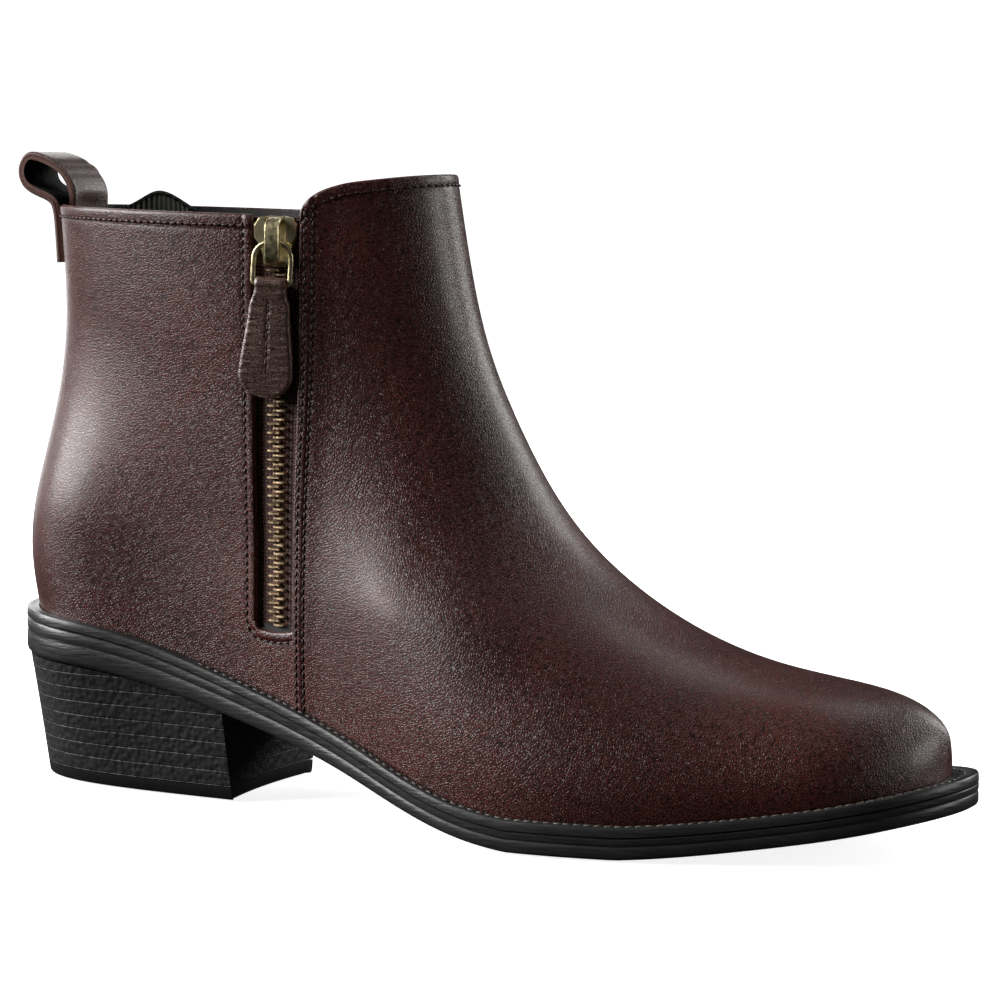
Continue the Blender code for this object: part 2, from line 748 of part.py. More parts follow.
BAR_OUT = CROWN_HEIGHT - SEAT + 2 * GAP + BAIL_WIRE / 2  # height of the bail's bar above the leather


def add_zip_slider(material, group, cutters):
    """The slider: a waisted body on the tape, and the bridge that holds the bail."""
    half = [(CROWN_WIDTH / 2 * x, CROWN_TOP * up - CROWN_BOTTOM * down) for x, down, up in CROWN_SHAPE]
    outline = half + [(-x, y) for x, y in reversed(half)]
    frame = zip_frame()
    place = frame @ Matrix.Translation((0, 0, GAP - SEAT))
    slider = add_piece("zip_slider", prism(outline, CROWN_HEIGHT - GAP), material, group, place)
    top = CROWN_HEIGHT - SEAT
    root = top - 3 * GAP
    under = BAR_OUT + BAIL_WIRE / 2 + 2 * GAP
    reach = BRIDGE_LENGTH / 2
    inner = reach - BRIDGE_FOOT
    right_side = [
        (reach * 0.62, under + BRIDGE_HEIGHT), (reach, under * 0.55), (reach, root),
        (inner, root), (inner, top + 2 * GAP), (reach * 0.42, under),
    ]
    side = right_side + [(-y, z) for y, z in reversed(right_side)]
    turn = Matrix(((0, 0, 1), (1, 0, 0), (0, 1, 0))).to_4x4()
    bridge_place = frame @ Matrix.Translation((-BRIDGE_WIDTH / 2, 0, 0)) @ turn
    combine(slider, add_cutter("zip_bridge", prism(side, BRIDGE_WIDTH), cutters, bridge_place), "UNION")


def add_zip_pull(metal, leather, group, cutters):
    """The wire bail in the slider's bridge and the leather pull folded over its lower bar."""
    frame = zip_frame()
    axis = bpy.data.objects.new("zip_pull_axis", None)
    axis.matrix_world = frame @ Matrix.Translation((0, 0, BAR_OUT)) @ Matrix.Rotation(math.radians(-TAB_SWING), 4, "Z")
    group.objects.link(axis)
    half, corner = BAIL_WIDTH / 2, CORNER_RADIUS
    points = []
    for i in range(13):
        angle = math.pi * i / 12
        points.append((half * math.cos(angle), half * 0.86 * (math.sin(angle) - 1), 0))
    for sign in (-1, 1):
        turns = []
        for i in range(4):
            angle = math.pi / 2 * i / 3
            x = half - corner + corner * math.cos(angle)
            turns.append((sign * x, -BAIL_LENGTH + corner - corner * math.sin(angle), 0))
        points += turns if sign < 0 else turns[::-1]
    bail = add_piece("zip_bail", curve_mesh(points, BAIL_WIRE / 2, True), metal, group)
    shade_round(bail, 60)
    bail.parent = axis
    rings = []
    roll = half - BAIL_WIRE / 2 - TAB_EDGE
    for i in range(5):
        angle = math.pi * (0.06 + 0.62 * i / 4)
        y = ROLL_RADIUS * math.cos(angle)
        rings.append((y, roll, max(ROLL_RADIUS * math.sin(angle), TAB_HEIGHT / 2)))
    width = spline([row[0] for row in TAB_SHAPE], [row[1] * TAB_WIDTH / 2 for row in TAB_SHAPE])
    start = rings[-1][0] - 2 * GAP
    for share in (0.0, 0.3, 0.6, TAB_STRAIGHT):
        rings.append((start - share * TAB_LENGTH, width(share), TAB_HEIGHT / 2))
    end_radius = width(0.8)
    for i in range(1, 6):
        angle = math.pi / 2 * i / 6
        reach = TAB_STRAIGHT + (1 - TAB_STRAIGHT) * math.sin(angle)
        rings.append((start - TAB_LENGTH * reach, end_radius * math.cos(angle) ** 0.9, TAB_HEIGHT / 2))
    solid = []
    for y, across, high in rings:
        edge = min(TAB_EDGE, high / 2)
        corners = (
            (across - edge, -high), (across, -high + edge), (across, high - edge), (across - edge, high),
            (edge - across, high), (-across, high - edge), (-across, edge - high), (edge - across, -high),
        )
        solid.append([Vector((x, y - BAIL_LENGTH, z)) for x, z in corners])
    tab = add_piece("zip_pull", body_through(solid, ends="flat"), leather, group)
    shade_round(tab)
    tab.parent = axis
    mesh = bmesh.new()
    bore = BAIL_WIRE / 2 + GAP
    bmesh.ops.create_cone(
        mesh, segments=12, radius1=bore, radius2=bore, depth=2 * BAIL_WIDTH, cap_ends=True,
    )
    lying = Matrix.Translation((0, -BAIL_LENGTH, 0)) @ Matrix.Rotation(math.pi / 2, 4, "Y")
    cutter = add_cutter("bail_bore", mesh, cutters)
    cutter.parent = axis
    cutter.matrix_local = lying
    combine(tab, cutter, "DIFFERENCE")


# Collar fittings

LOOP_WIDTH = 17 * MM
LOOP_HEIGHT = 2.2 * MM
LOOP_REACH = 12 * MM  # how far the loop stands out behind the boot
LOOP_RISE = 13.4 * MM  # and above the collar
LOOP_TAIL = 16 * MM  # sewn to the leather below the collar
LOOP_STRAIGHTENS = 4 * MM  # this far above the collar the strap no longer curves round the boot
LOOP_SEAT = 1 * MM  # the leather's form is read at least this far below its edge

# Middle line of the pull loop, from its outer tail over the collar to its inner tail
LOOP_PATH = (
    # place, way from the outer to the inner face, share of LOOP_REACH, of LOOP_RISE, of LOOP_TAIL
    ("outer tail", 0.00, 0.00, 0.00, 1.00),
    ("outer side", 0.00, 0.00, 0.00, 0.50),
    ("collar edge", 0.00, 0.02, 0.00, 0.12),
    ("fold", 0.00, 0.16, 0.10, 0.00),
    ("lower leg", 0.00, 0.53, 0.24, 0.00),
    ("rear turn", 0.00, 0.89, 0.42, 0.00),
    ("rear", 0.00, 1.00, 0.70, 0.00),
    ("top turn", 0.00, 0.90, 0.92, 0.00),
    ("top", 0.00, 0.64, 1.00, 0.00),
    ("upper leg", 0.12, 0.12, 0.82, 0.00),
    ("slope", 0.60, 0.00, 0.56, 0.00),
    ("inner fold", 0.98, 0.00, 0.24, 0.00),
    ("inner side", 1.00, 0.00, 0.00, 0.15),
    ("inner tail", 1.00, 0.00, 0.00, 0.80),
)


def add_pull_loop(material, group):
    """A strap of leather on webbing, sewn to both faces of the collar at the back."""
    places = range(len(LOOP_PATH))
    inward, reach, rise, tail = [spline(places, [row[k] for row in LOOP_PATH]) for k in (1, 2, 3, 4)]
    back_collar = BACK_Z(1.0)
    seat = GAP + LOOP_HEIGHT / 2
    steps = 2 * (len(LOOP_PATH) - 1)
    rows = []
    for i in range(steps + 1):
        place = places[-1] * i / steps
        above = rise(place) * LOOP_RISE
        z = back_collar + above - tail(place) * LOOP_TAIL
        level = min(z, back_collar - LOOP_SEAT)
        row = []
        for k in range(7):
            x = LOOP_WIDTH * (k / 6 - 0.5)
            edge = LOOP_WIDTH / 12
            slope = (upper_across(x + edge, level) - upper_across(x - edge, level)) / (2 * edge)
            slant = math.sqrt(1 + slope**2)
            depth = inward(place) * (WALL + 2 * seat) - seat
            straight = smooth_step(above / LOOP_STRAIGHTENS)
            wall = upper_across(x, level) * (1 - straight) + upper_across(LOOP_WIDTH / 2, level) * straight
            y = wall + depth * slant - reach(place) * LOOP_REACH
            row.append(Vector((x, y, z)))
        rows.append(row)
    loop = add_piece("pull_loop", sheet_through(rows), material, group)
    shade_round(loop, 60)
    thicken(loop, LOOP_HEIGHT, 0.0)


def upper_across(x, z):
    """How far back the upper's outer face lies at a distance x from the centre line, at height z."""
    low, high = 0.0, 1.0
    for _ in range(HALVINGS):
        v = (low + high) / 2
        low, high = (v, high) if BACK_Z(v) < z else (low, v)
    near, far = 0.0, 0.5
    for _ in range(HALVINGS):
        s = (near + far) / 2
        near, far = (s, far) if upper_point(s, v, 1).x < abs(x) else (near, s)
    return upper_point(s, v, 1).y


GUSSET_START_STATION = 0.056  # stations of the gusset's edges behind the inner collar
GUSSET_END_STATION = 0.126
GUSSET_PEAK_STATION = 0.090
GUSSET_RISE = 4.6 * MM
GUSSET_DEPTH = 24 * MM
GUSSET_HEIGHT = 1.2 * MM
GUSSET_SEAT = 2 * MM  # the leather's form is read at least this far below its edge


def add_gusset(material, group):
    """The ribbed textile gusset inside the inner collar, whose bound edge stands above the leather."""
    rows = []
    count = 12
    for k in range(9):
        row = []
        for i in range(count + 1):
            t = GUSSET_START_STATION + (GUSSET_END_STATION - GUSSET_START_STATION) * i / count
            y = y_at(t)
            bulge = (t - GUSSET_START_STATION) / (GUSSET_PEAK_STATION - GUSSET_START_STATION)
            fall = (GUSSET_END_STATION - t) / (GUSSET_END_STATION - GUSSET_PEAK_STATION)
            hump = GUSSET_RISE * smooth_step(min(bulge, 1)) * smooth_step(min(fall, 1)) ** 0.7
            collar = collar_z(y, -1)
            top = collar + hump - GUSSET_SEAT / 2
            z = top - GUSSET_DEPTH * (1 - k / 8)
            point, normal = wall_point(y, min(z, collar - GUSSET_SEAT), -1, WALL + 2 * GAP)
            row.append(Vector((point.x, point.y, z)))
        rows.append(row)
    gusset = add_piece("collar_gusset", sheet_through(rows), material, group)
    shade_round(gusset)
    thicken(gusset, GUSSET_HEIGHT, 1.0)


def build():
    for item in list(bpy.data.objects):
        bpy.data.objects.remove(item, do_unlink=True)
    group = bpy.data.collections.new("zip_ankle_boot")
    cutters = bpy.data.collections.new("cutters")
    for collection in (group, cutters):
        bpy.context.scene.collection.children.link(collection)

    leather = finish("burgundy_leather", (71, 50, 48), 0.42)
    sole = finish("black_sole_rubber", (38, 38, 38), 0.62)
    stack = finish("black_heel_stack", (46, 46, 46), 0.6)
    lining = finish("black_lining", (26, 24, 24), 0.85)
    tape = finish("brown_zip_tape", (48, 34, 32), 0.9)
    brass = finish("antique_brass", (150, 140, 108), 0.34, 1.0)
    strap = finish("grey_brown_leather", (96, 84, 80), 0.5)
    textile = finish("grey_gusset_textile", (88, 88, 84), 0.9)

    add_outsole(sole, group)
    add_welt(sole, group)
    add_heel(stack, group, cutters)
    add_heel_lift(sole, group)
    add_upper(leather, group, cutters)
    add_insole(lining, group)
    add_zip_tape(tape, group)
    add_zip_teeth(brass, group)
    add_zip_slider(brass, group, cutters)
    add_zip_pull(brass, leather, group, cutters)
    add_pull_loop(strap, group)
    add_gusset(textile, group)


build()
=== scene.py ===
"""Looks of a right-foot zip ankle boot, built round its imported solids.

The origin is the centre of the heel's tread on the floor. +Y runs to the toe, +X to the outer side, +Z up.
Stations along the boot are shares of the sole's length, from its rear (0) to its toe tip (1).
"""

import math

import bpy
import numpy as np
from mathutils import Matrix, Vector


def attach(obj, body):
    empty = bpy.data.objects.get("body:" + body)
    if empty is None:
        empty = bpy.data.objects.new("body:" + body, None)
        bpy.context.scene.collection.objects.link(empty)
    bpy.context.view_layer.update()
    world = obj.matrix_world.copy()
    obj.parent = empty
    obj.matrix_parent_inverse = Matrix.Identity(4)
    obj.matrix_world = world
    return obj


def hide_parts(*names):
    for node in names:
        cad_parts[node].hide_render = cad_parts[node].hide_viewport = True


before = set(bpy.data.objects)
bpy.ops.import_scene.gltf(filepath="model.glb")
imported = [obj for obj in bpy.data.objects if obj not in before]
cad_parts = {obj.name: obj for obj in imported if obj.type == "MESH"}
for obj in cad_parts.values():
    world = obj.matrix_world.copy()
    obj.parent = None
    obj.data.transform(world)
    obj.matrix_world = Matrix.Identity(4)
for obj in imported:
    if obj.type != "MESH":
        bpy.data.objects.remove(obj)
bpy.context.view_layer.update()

# Outsole
# A moulded rubber sole with a black, waxed edge. It rises over the heel, arches at the waist and springs at
# the toe, and a groove runs round the edge just under the welt.

MM = 0.001
SOLE_LENGTH = 272 * MM
BALL_WIDTH = 92 * MM
HEEL_RISE = 36 * MM
TOE_SPRING = 12 * MM
EDGE_HEIGHT = 8.3 * MM  # sole and welt together, at the ball
WELT_HEIGHT = 2.4 * MM
REAR_RADIUS = 31 * MM
TOE_RADIUS = 19 * MM
TOE_SWING = 8 * MM
GAP = 0.3 * MM
LIFT_REAR = 4 * MM
LIFT_LENGTH = 70 * MM
SOLE_POINTS = 360

OUTLINE = (
    # station, half-widths to the outer and the inner side as shares of BALL_WIDTH
    (0.06, 0.310, 0.310),
    (0.14, 0.342, 0.337),
    (0.28, 0.338, 0.312),
    (0.42, 0.400, 0.310),
    (0.54, 0.488, 0.365),
    (0.65, 0.500, 0.450),
    (0.76, 0.440, 0.452),
    (0.86, 0.358, 0.385),
    (0.94, 0.268, 0.285),
)

BOTTOM = (
    # station, share of HEEL_RISE, share of TOE_SPRING, edge as a share of EDGE_HEIGHT
    (0.00, 1.000, 0.00, 1.50),
    (0.12, 0.955, 0.00, 1.44),
    (0.27, 0.717, 0.00, 1.25),
    (0.42, 0.400, 0.00, 1.08),
    (0.55, 0.080, 0.00, 1.00),
    (0.63, -0.01, 0.00, 1.00),
    (0.71, 0.000, -0.01, 1.00),
    (0.80, 0.000, 0.20, 0.98),
    (0.90, 0.000, 0.56, 0.98),
    (1.00, 0.000, 1.00, 1.02),
)


def spline(stations, values):
    """A smooth curve through the given points, for single numbers and for whole arrays."""
    xs, ys = np.array(stations, float), np.array(values, float)
    steps, count = np.diff(xs), len(xs)
    system, right = np.zeros((count, count)), np.zeros(count)
    system[0, 0] = system[-1, -1] = 1
    for i in range(1, count - 1):
        system[i, i - 1 : i + 2] = steps[i - 1], 2 * (steps[i - 1] + steps[i]), steps[i]
        right[i] = 6 * ((ys[i + 1] - ys[i]) / steps[i] - (ys[i] - ys[i - 1]) / steps[i - 1])
    bends = np.linalg.solve(system, right)

    def value(x):
        x = np.asarray(x, float)
        i = np.clip(np.searchsorted(xs, x) - 1, 0, count - 2)
        ahead, behind, step = xs[i + 1] - x, x - xs[i], steps[i]
        curved = (bends[i] * ahead**3 + bends[i + 1] * behind**3) / (6 * step)
        low = (ys[i] / step - bends[i] * step / 6) * ahead
        return curved + low + (ys[i + 1] / step - bends[i + 1] * step / 6) * behind

    return value


def column(table, index):
    return spline([row[0] for row in table], [row[index] for row in table])


def smooth_step(x):
    x = np.clip(x, 0, 1)
    return x * x * (3 - 2 * x)


def y_at(t):
    return SOLE_LENGTH * t - (LIFT_REAR + LIFT_LENGTH / 2)


def station(y):
    return (y + LIFT_REAR + LIFT_LENGTH / 2) / SOLE_LENGTH


def ends(t):
    return np.sqrt(np.clip(4 * t * (1 - t), 0, None))


def fullness(index):
    """Half-width of the sole on one side over the roundness of its ends."""
    rows = [(0.0, math.sqrt(REAR_RADIUS * SOLE_LENGTH / 2))]
    rows += [(row[0], row[index] * BALL_WIDTH / ends(row[0])) for row in OUTLINE]
    rows += [(1.0, math.sqrt(TOE_RADIUS * SOLE_LENGTH / 2))]
    return column(rows, 1)


outer_fullness, inner_fullness = fullness(1), fullness(2)
heel_share, spring_share, edge_share = (column(BOTTOM, k) for k in (1, 2, 3))


def centre_x(t):
    return -TOE_SWING * np.clip((t - 0.5) / 0.5, 0, 1) ** 2


def half_width(t, side):
    t = np.clip(t, 0, 1)
    return np.where(side > 0, outer_fullness(t), inner_fullness(t)) * ends(t)


def underside(t):
    t = np.clip(t, 0, 1)
    return np.maximum(heel_share(t) * HEEL_RISE + spring_share(t) * TOE_SPRING, 0)


def welt_top(t):
    return underside(t) + edge_share(np.clip(t, 0, 1)) * EDGE_HEIGHT


def sole_top(t):
    return welt_top(t) - WELT_HEIGHT - GAP


def move_in(ring, distance):
    """A ring of points that runs to the toe along the outer side, moved inward in plan."""
    run = np.roll(ring, -1, 0) - np.roll(ring, 1, 0)
    inward = np.stack([-run[:, 1], run[:, 0], 0 * run[:, 0]], 1)
    return ring + inward / np.linalg.norm(inward, axis=1)[:, None] * np.reshape(distance, (-1, 1))


def sole_ring(height, setback=0.0, count=SOLE_POINTS):
    """A ring on the sole's outline, at a height given for each station."""
    angle = 2 * np.pi * np.arange(count) / count
    t, side = (1 - np.cos(angle)) / 2, np.where(angle <= np.pi, 1, -1)
    ring = np.stack([side * half_width(t, side) + centre_x(t), y_at(t), height(t)], 1)
    return move_in(ring, setback)


def grid_mesh(name, rows, closed=False, capped=False):
    """A surface through rows of points: closed joins each row's ends, capped fills the first and last."""
    rows = np.asarray(rows, float)
    count, width = rows.shape[:2]
    points = rows.reshape(-1, 3)
    index = np.arange(count * width).reshape(count, width)
    right = np.roll(index, -1, 1) if closed else index[:, 1:]
    left = index if closed else index[:, :-1]
    faces = np.stack([left[:-1], right[:-1], right[1:], left[1:]], -1).reshape(-1, 4).tolist()
    if capped:
        faces += [index[0][::-1].tolist(), index[-1].tolist()]
    mesh = bpy.data.meshes.new(name)
    mesh.from_pydata(points.tolist(), [], faces)
    mesh.update()
    return mesh


def add_piece(name, mesh, *materials, sharp=40):
    """Shows a mesh as one piece, smooth but for its sharp edges."""
    piece = bpy.data.objects.new(name, mesh)
    for material in materials:
        mesh.materials.append(material)
    mesh.shade_smooth()
    mesh.set_sharp_from_angle(angle=math.radians(sharp))
    bpy.context.scene.collection.objects.link(piece)
    return piece


def srgb(code):
    """An sRGB hex colour as linear numbers."""
    parts = [int(code[i : i + 2], 16) / 255 for i in (1, 3, 5)]
    return [c / 12.92 if c <= 0.04045 else ((c + 0.055) / 1.055) ** 2.4 for c in parts] + [1]


def add(tree, kind, inputs=None, **settings):
    """Adds a node with its settings and its inputs, which are values or sockets to link."""
    made = tree.nodes.new(kind)
    for name, value in settings.items():
        setattr(made, name, value)
    for key, value in (inputs or {}).items():
        if isinstance(value, bpy.types.NodeSocket):
            tree.links.new(value, made.inputs[key])
        else:
            made.inputs[key].default_value = value
    return made


def start_material(name, **values):
    """A Principled material: its tree, its shader and the piece's own coordinates."""
    material = bpy.data.materials.new(name)
    material.use_nodes = True
    shader = material.node_tree.nodes["Principled BSDF"]
    for key, value in values.items():
        shader.inputs[key.replace("_", " ")].default_value = value
    place = material.node_tree.nodes.new("ShaderNodeTexCoord").outputs["Object"]
    return material, material.node_tree, shader, place


def link_bump(tree, shader, height, distance, strength=1.0, under=None):
    """A bump of a real height in metres, on top of another one."""
    bump = add(tree, "ShaderNodeBump", {"Height": height, "Distance": distance, "Strength": strength})
    if under is not None:
        tree.links.new(under, bump.inputs["Normal"])
    tree.links.new(bump.outputs["Normal"], shader.inputs["Normal"])
    return bump.outputs["Normal"]


def ramp(tree, value, *stops):
    """A colour ramp from pairs of place and sRGB colour."""
    made = add(tree, "ShaderNodeValToRGB", {"Fac": value})
    band = made.color_ramp
    while len(band.elements) < len(stops):
        band.elements.new(0.5)
    for element, (where, code) in zip(band.elements, stops):
        element.position = where
        element.color = srgb(code)
    return made.outputs["Color"]


def tint(tree, shader, value, *stops):
    """Colours a finish by a ramp over one of its patterns."""
    tree.links.new(ramp(tree, value, *stops), shader.inputs["Base Color"])


# Waxed rubber: nearly black, smooth enough for long soft highlights, with faint drag marks along the edge.
sole_rubber, tree, shader, place = start_material("waxed_black_rubber", Roughness=0.34, IOR=1.5)
along = add(tree, "ShaderNodeMapping", {"Vector": place, "Scale": (1, 1, 9)})
marks = add(tree, "ShaderNodeTexNoise", {"Vector": along.outputs[0], "Scale": 160, "Detail": 4})
tint(tree, shader, marks.outputs["Fac"], (0.3, "#242424"), (0.75, "#303030"))
drag = add(tree, "ShaderNodeMapRange", {"Value": marks.outputs["Fac"], "To Min": 0.26, "To Max": 0.5})
tree.links.new(drag.outputs[0], shader.inputs["Roughness"])
link_bump(tree, shader, marks.outputs["Fac"], 0.12 * MM)

EDGE_PROFILE = (
    # share of the edge's height, setback in mm
    (0.00, 1.3),
    (0.02, 0.7),
    (0.07, 0.25),
    (0.16, 0.0),
    (0.45, 0.0),
    (0.56, 0.08),
    (0.62, 0.28),
    (0.68, 0.08),
    (0.76, 0.0),
    (0.93, 0.0),
    (0.98, 0.3),
    (1.00, 0.8),
)

rows = []
for share, setback in EDGE_PROFILE:
    rows.append(sole_ring(lambda t: underside(t) + (sole_top(t) - underside(t)) * share, setback * MM))


def close_over(ring, height, shares=(0.96, 0.85, 0.6, 0.3, 0.0)):
    """Rings that close a sole-shaped surface along its centre line."""
    t = station(ring[:, 1])
    made = []
    for share in shares:
        inner = ring.copy()
        inner[:, 0] = centre_x(t) + (ring[:, 0] - centre_x(t)) * share
        inner[:, 2] = height(t)
        made.append(inner)
    return made


rows = close_over(rows[0], underside)[::-1] + rows + close_over(rows[-1], sole_top)
outsole = add_piece("outsole_edge_and_tread", grid_mesh("outsole", rows, closed=True), sole_rubber)
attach(outsole, "root")
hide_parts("outsole")

# Upper's form
# The leather is lasted: pulled over a last and down under its edge, so its skin is one smooth form from the
# sole to the collar. These are the last's own sections, which the panels, lining and zip all follow.

SHAFT_HEIGHT = 112 * MM
SHAFT_WIDTH = 64 * MM
WELT_LEDGE = 4 * MM
COLLAR_DIP = 8.7 * MM
COLLAR_CROWN = 1.2 * MM
CORNER_RUN = 14 * MM
CORNER_SQUARE = 2.2
SEAM_Y = y_at(0.359)  # the front panel's rear edge
PANEL_STEP = 0.9 * MM
LAP_WIDTH = 9 * MM
FOOT_LEVEL = 0.55  # up to this level the skin follows the sole's line
COLLAR_LEVEL = 0.7  # from this one it bends to the collar's line
SHAFT_START, SHAFT_BLEND = 0.35, 0.5  # where the foot's section turns into the shaft's
REAR_FULLER = 0.05  # share by which the shaft is wider behind
ANGLE_STEP, LEVEL_STEP = 0.01, 0.005
HALVINGS = 26

SECTIONS = (
    # name, back station, back rise, front station, front rise, shaft half-width
    ("feather edge", 0.014, 0.000, 0.970, 0.000, 0.94),
    ("toe wall", 0.007, 0.080, 0.976, 0.088, 0.94),
    ("toe top", 0.003, 0.160, 0.963, 0.160, 0.94),
    ("toe box", 0.005, 0.255, 0.908, 0.246, 0.94),
    ("ball", 0.014, 0.366, 0.797, 0.336, 0.94),
    ("vamp", 0.024, 0.478, 0.690, 0.460, 0.94),
    ("instep", 0.033, 0.594, 0.601, 0.636, 0.93),
    ("ankle", 0.038, 0.714, 0.541, 0.833, 0.93),
    ("shaft", 0.039, 0.839, 0.499, 1.044, 0.96),
    ("collar", 0.035, 1.015, 0.470, 1.367, 1.00),
)

SHOULDERS = (
    # station, squareness of the shoulders, swell above the sole
    (0.00, 2.4, 0.10),
    (0.30, 2.2, 0.16),
    (0.50, 1.8, 0.26),
    (0.68, 1.8, 0.30),
    (0.85, 2.0, 0.34),
    (1.00, 2.0, 0.30),
)


def upper_foot(t):
    return sole_top(t) + GAP


levels = np.linspace(0, 1, len(SECTIONS))
back_y = spline(levels, [y_at(row[1]) for row in SECTIONS])
back_z = spline(levels, [upper_foot(row[1]) + row[2] * SHAFT_HEIGHT for row in SECTIONS])
front_y = spline(levels, [y_at(row[3]) for row in SECTIONS])
front_z = spline(levels, [upper_foot(row[3]) + row[4] * SHAFT_HEIGHT for row in SECTIONS])
shaft_half = spline(levels, [row[5] * SHAFT_WIDTH / 2 for row in SECTIONS])
squareness, swell = column(SHOULDERS, 1), column(SHOULDERS, 2)
steps = np.linspace(0, 1, 240)
furthest = int(np.argmax(front_y(steps)))
crest_y, crest_z = front_y(steps)[furthest:][::-1], front_z(steps)[furthest:][::-1]
crest_slope = (crest_z[0] - crest_z[8]) / (crest_y[8] - crest_y[0])


def crest(y):
    """Height of the ridge from the toe over the instep, carried on upwards behind the shaft's front."""
    behind = np.maximum(crest_y[0] - y, 0) * crest_slope
    return np.interp(y, crest_y, crest_z) + behind


def collar_drop(y):
    """How far the collar lies below the straight line from its back to its front."""
    back, front = back_y(1.0), front_y(1.0)
    rear = COLLAR_DIP * np.clip((y - back) / (SEAM_Y - back), 0, None)
    run = np.clip((y - SEAM_Y) / CORNER_RUN, 0, 1)
    rise = (1 - (1 - run) ** CORNER_SQUARE) ** (1 / CORNER_SQUARE)
    tail = 1 - smooth_step((y - SEAM_Y) / (front - SEAM_Y))
    return np.where(y <= SEAM_Y, rear, COLLAR_DIP * (1 - rise) + COLLAR_CROWN * rise * tail)


def skin(angle, level):
    """The lasted surface: its angle runs from the back (0) along the outer side to the front (pi)."""
    angle = np.asarray(angle, float)
    level = np.clip(level, 0, 1)
    s = (1 - np.cos(angle)) / 2
    side = np.where(np.mod(angle, 2 * np.pi) <= np.pi, 1, -1)
    rear_y, length = back_y(level), front_y(level) - back_y(level)
    y = rear_y + length * s
    z = back_z(level) + (front_z(level) - back_z(level)) * s
    low_y = back_y(0) + (front_y(0) - back_y(0)) * s
    low_line = back_z(0) + (front_z(0) - back_z(0)) * s
    z = z + (upper_foot(station(low_y)) - low_line) * np.clip(1 - level / FOOT_LEVEL, 0, 1) ** 1.5
    z = z - collar_drop(y) * smooth_step((level - COLLAR_LEVEL) / (1 - COLLAR_LEVEL))
    t = station(y)
    floor = upper_foot(t)
    q = np.clip((z - floor) / np.maximum(crest(y) - floor, 1e-6), 0, 1)
    u = np.clip((y - rear_y) / (front_y(levels[1]) - rear_y), 0, 1)
    plan = half_width(u, side) - WELT_LEDGE * ends(u) ** 0.6
    clipped = np.clip(t, 0, 1)
    section = np.sqrt(np.clip(1 - q ** squareness(clipped), 0, None)) * (1 + swell(clipped) * q * (1 - q))
    foot = np.maximum(plan, 0) * section
    shaft = shaft_half(level) * ends(s) * (1 + REAR_FULLER * (1 - 2 * s))
    mix = smooth_step((level - SHAFT_START) / SHAFT_BLEND)
    return np.stack([side * (foot * (1 - mix) + shaft * mix) + centre_x(t), y, z], -1)


def skin_normal(angle, level):
    along = skin(angle + ANGLE_STEP, level) - skin(angle - ANGLE_STEP, level)
    up = skin(angle, np.minimum(level + LEVEL_STEP, 1)) - skin(angle, np.maximum(level - LEVEL_STEP, 0))
    normal = np.cross(along, up)
    return normal / np.maximum(np.linalg.norm(normal, axis=-1), 1e-12)[..., None]


def run_per_level(angle, level, step):
    """How far the skin runs per level, just below a level."""
    return np.linalg.norm(skin(angle, level) - skin(angle, level - step), axis=-1) / step


def angle_at(y, level, side=1):
    """The angle at which a level of the skin passes y."""
    s = np.clip((y - back_y(level)) / (front_y(level) - back_y(level)), 0, 1)
    return np.arccos(1 - 2 * s) * side


def level_at(y, z, side=1):
    """The level at which the skin is seen at (y, z) from the side."""
    low, high = np.zeros(np.broadcast(y, z).shape), np.ones(np.broadcast(y, z).shape)
    for _ in range(HALVINGS):
        level = (low + high) / 2
        under = skin(angle_at(y, level, side), level)[..., 2] < z
        low, high = np.where(under, level, low), np.where(under, high, level)
    return (low + high) / 2


def on_skin(y, z, side=1, height=0.0):
    """Points seen at (y, z) from the side, raised off the skin, and the way out of it there."""
    level = level_at(y, z, side)
    angle = angle_at(y, level, side)
    normal = skin_normal(angle, level)
    return skin(angle, level) + normal * np.reshape(height, np.shape(height) + (1,)), normal


# Creases where the leather has moved: soft troughs and ridges, placed along the outer side.
CREASES = (
    # start y, start z, end y, end z, width, depth, all in mm
    (92, 78, 101, 72, 1.1, 0.16),
    (94, 75, 104, 70, 1.0, 0.12),
    (97, 82, 108, 74, 1.3, 0.14),
    (104, 80, 111, 83, 1.6, 0.20),
    (107, 84, 109, 78, 1.4, -0.14),
    (84, 122, 92, 132, 1.2, 0.10),
    (82, 116, 91, 125, 1.2, 0.10),
)


def crease_height(points):
    """Height of the creases at each point of the skin."""
    y, z, x = points[..., 1], points[..., 2], points[..., 0]
    height = np.zeros(y.shape)
    for y0, z0, y1, z1, width, depth in np.array(CREASES) * MM:
        run = np.hypot(y1 - y0, z1 - z0)
        along = ((y - y0) * (y1 - y0) + (z - z0) * (z1 - z0)) / run
        across = ((y - y0) * (z1 - z0) - (z - z0) * (y1 - y0)) / run
        past = np.maximum(np.maximum(-along, along - run), 0)
        height -= depth * np.exp(-(across**2) / width**2 - past**2 / (2 * width) ** 2)
    return height * (x > 0)


# Quarter
# The rear panel of burgundy leather wraps round the heel from seam to seam. A window with a turned, sewn
# margin is cut in it for the zip on the outer side.

SLOT_WIDTH = 12.8 * MM
WINDOW_Y = SEAM_Y - SLOT_WIDTH  # the window's rear edge
WINDOW_Z = upper_foot(0.359) + 22.5 * MM  # and its lower one
UNDERLAP = 3 * MM
QUARTER_THICK = 1.2 * MM
WINDOW_ROW = 2.7 * MM  # from the window's edge to its row of stitches
WINDOW_SAG = 0.9 * MM
EDGE_STEPS = MM * np.array(
    [0, 0.05, 0.15, 0.3, 0.5, 0.75, 1.1, 1.5, 1.9, 2.2, 2.5, 2.8, 3.1, 3.5, 4.0, 4.6, 5.5]
)
FURROW_WIDTH = 0.45 * MM  # of the dip along a row of stitches
FAR = 1.0  # a distance at which an edge has no effect


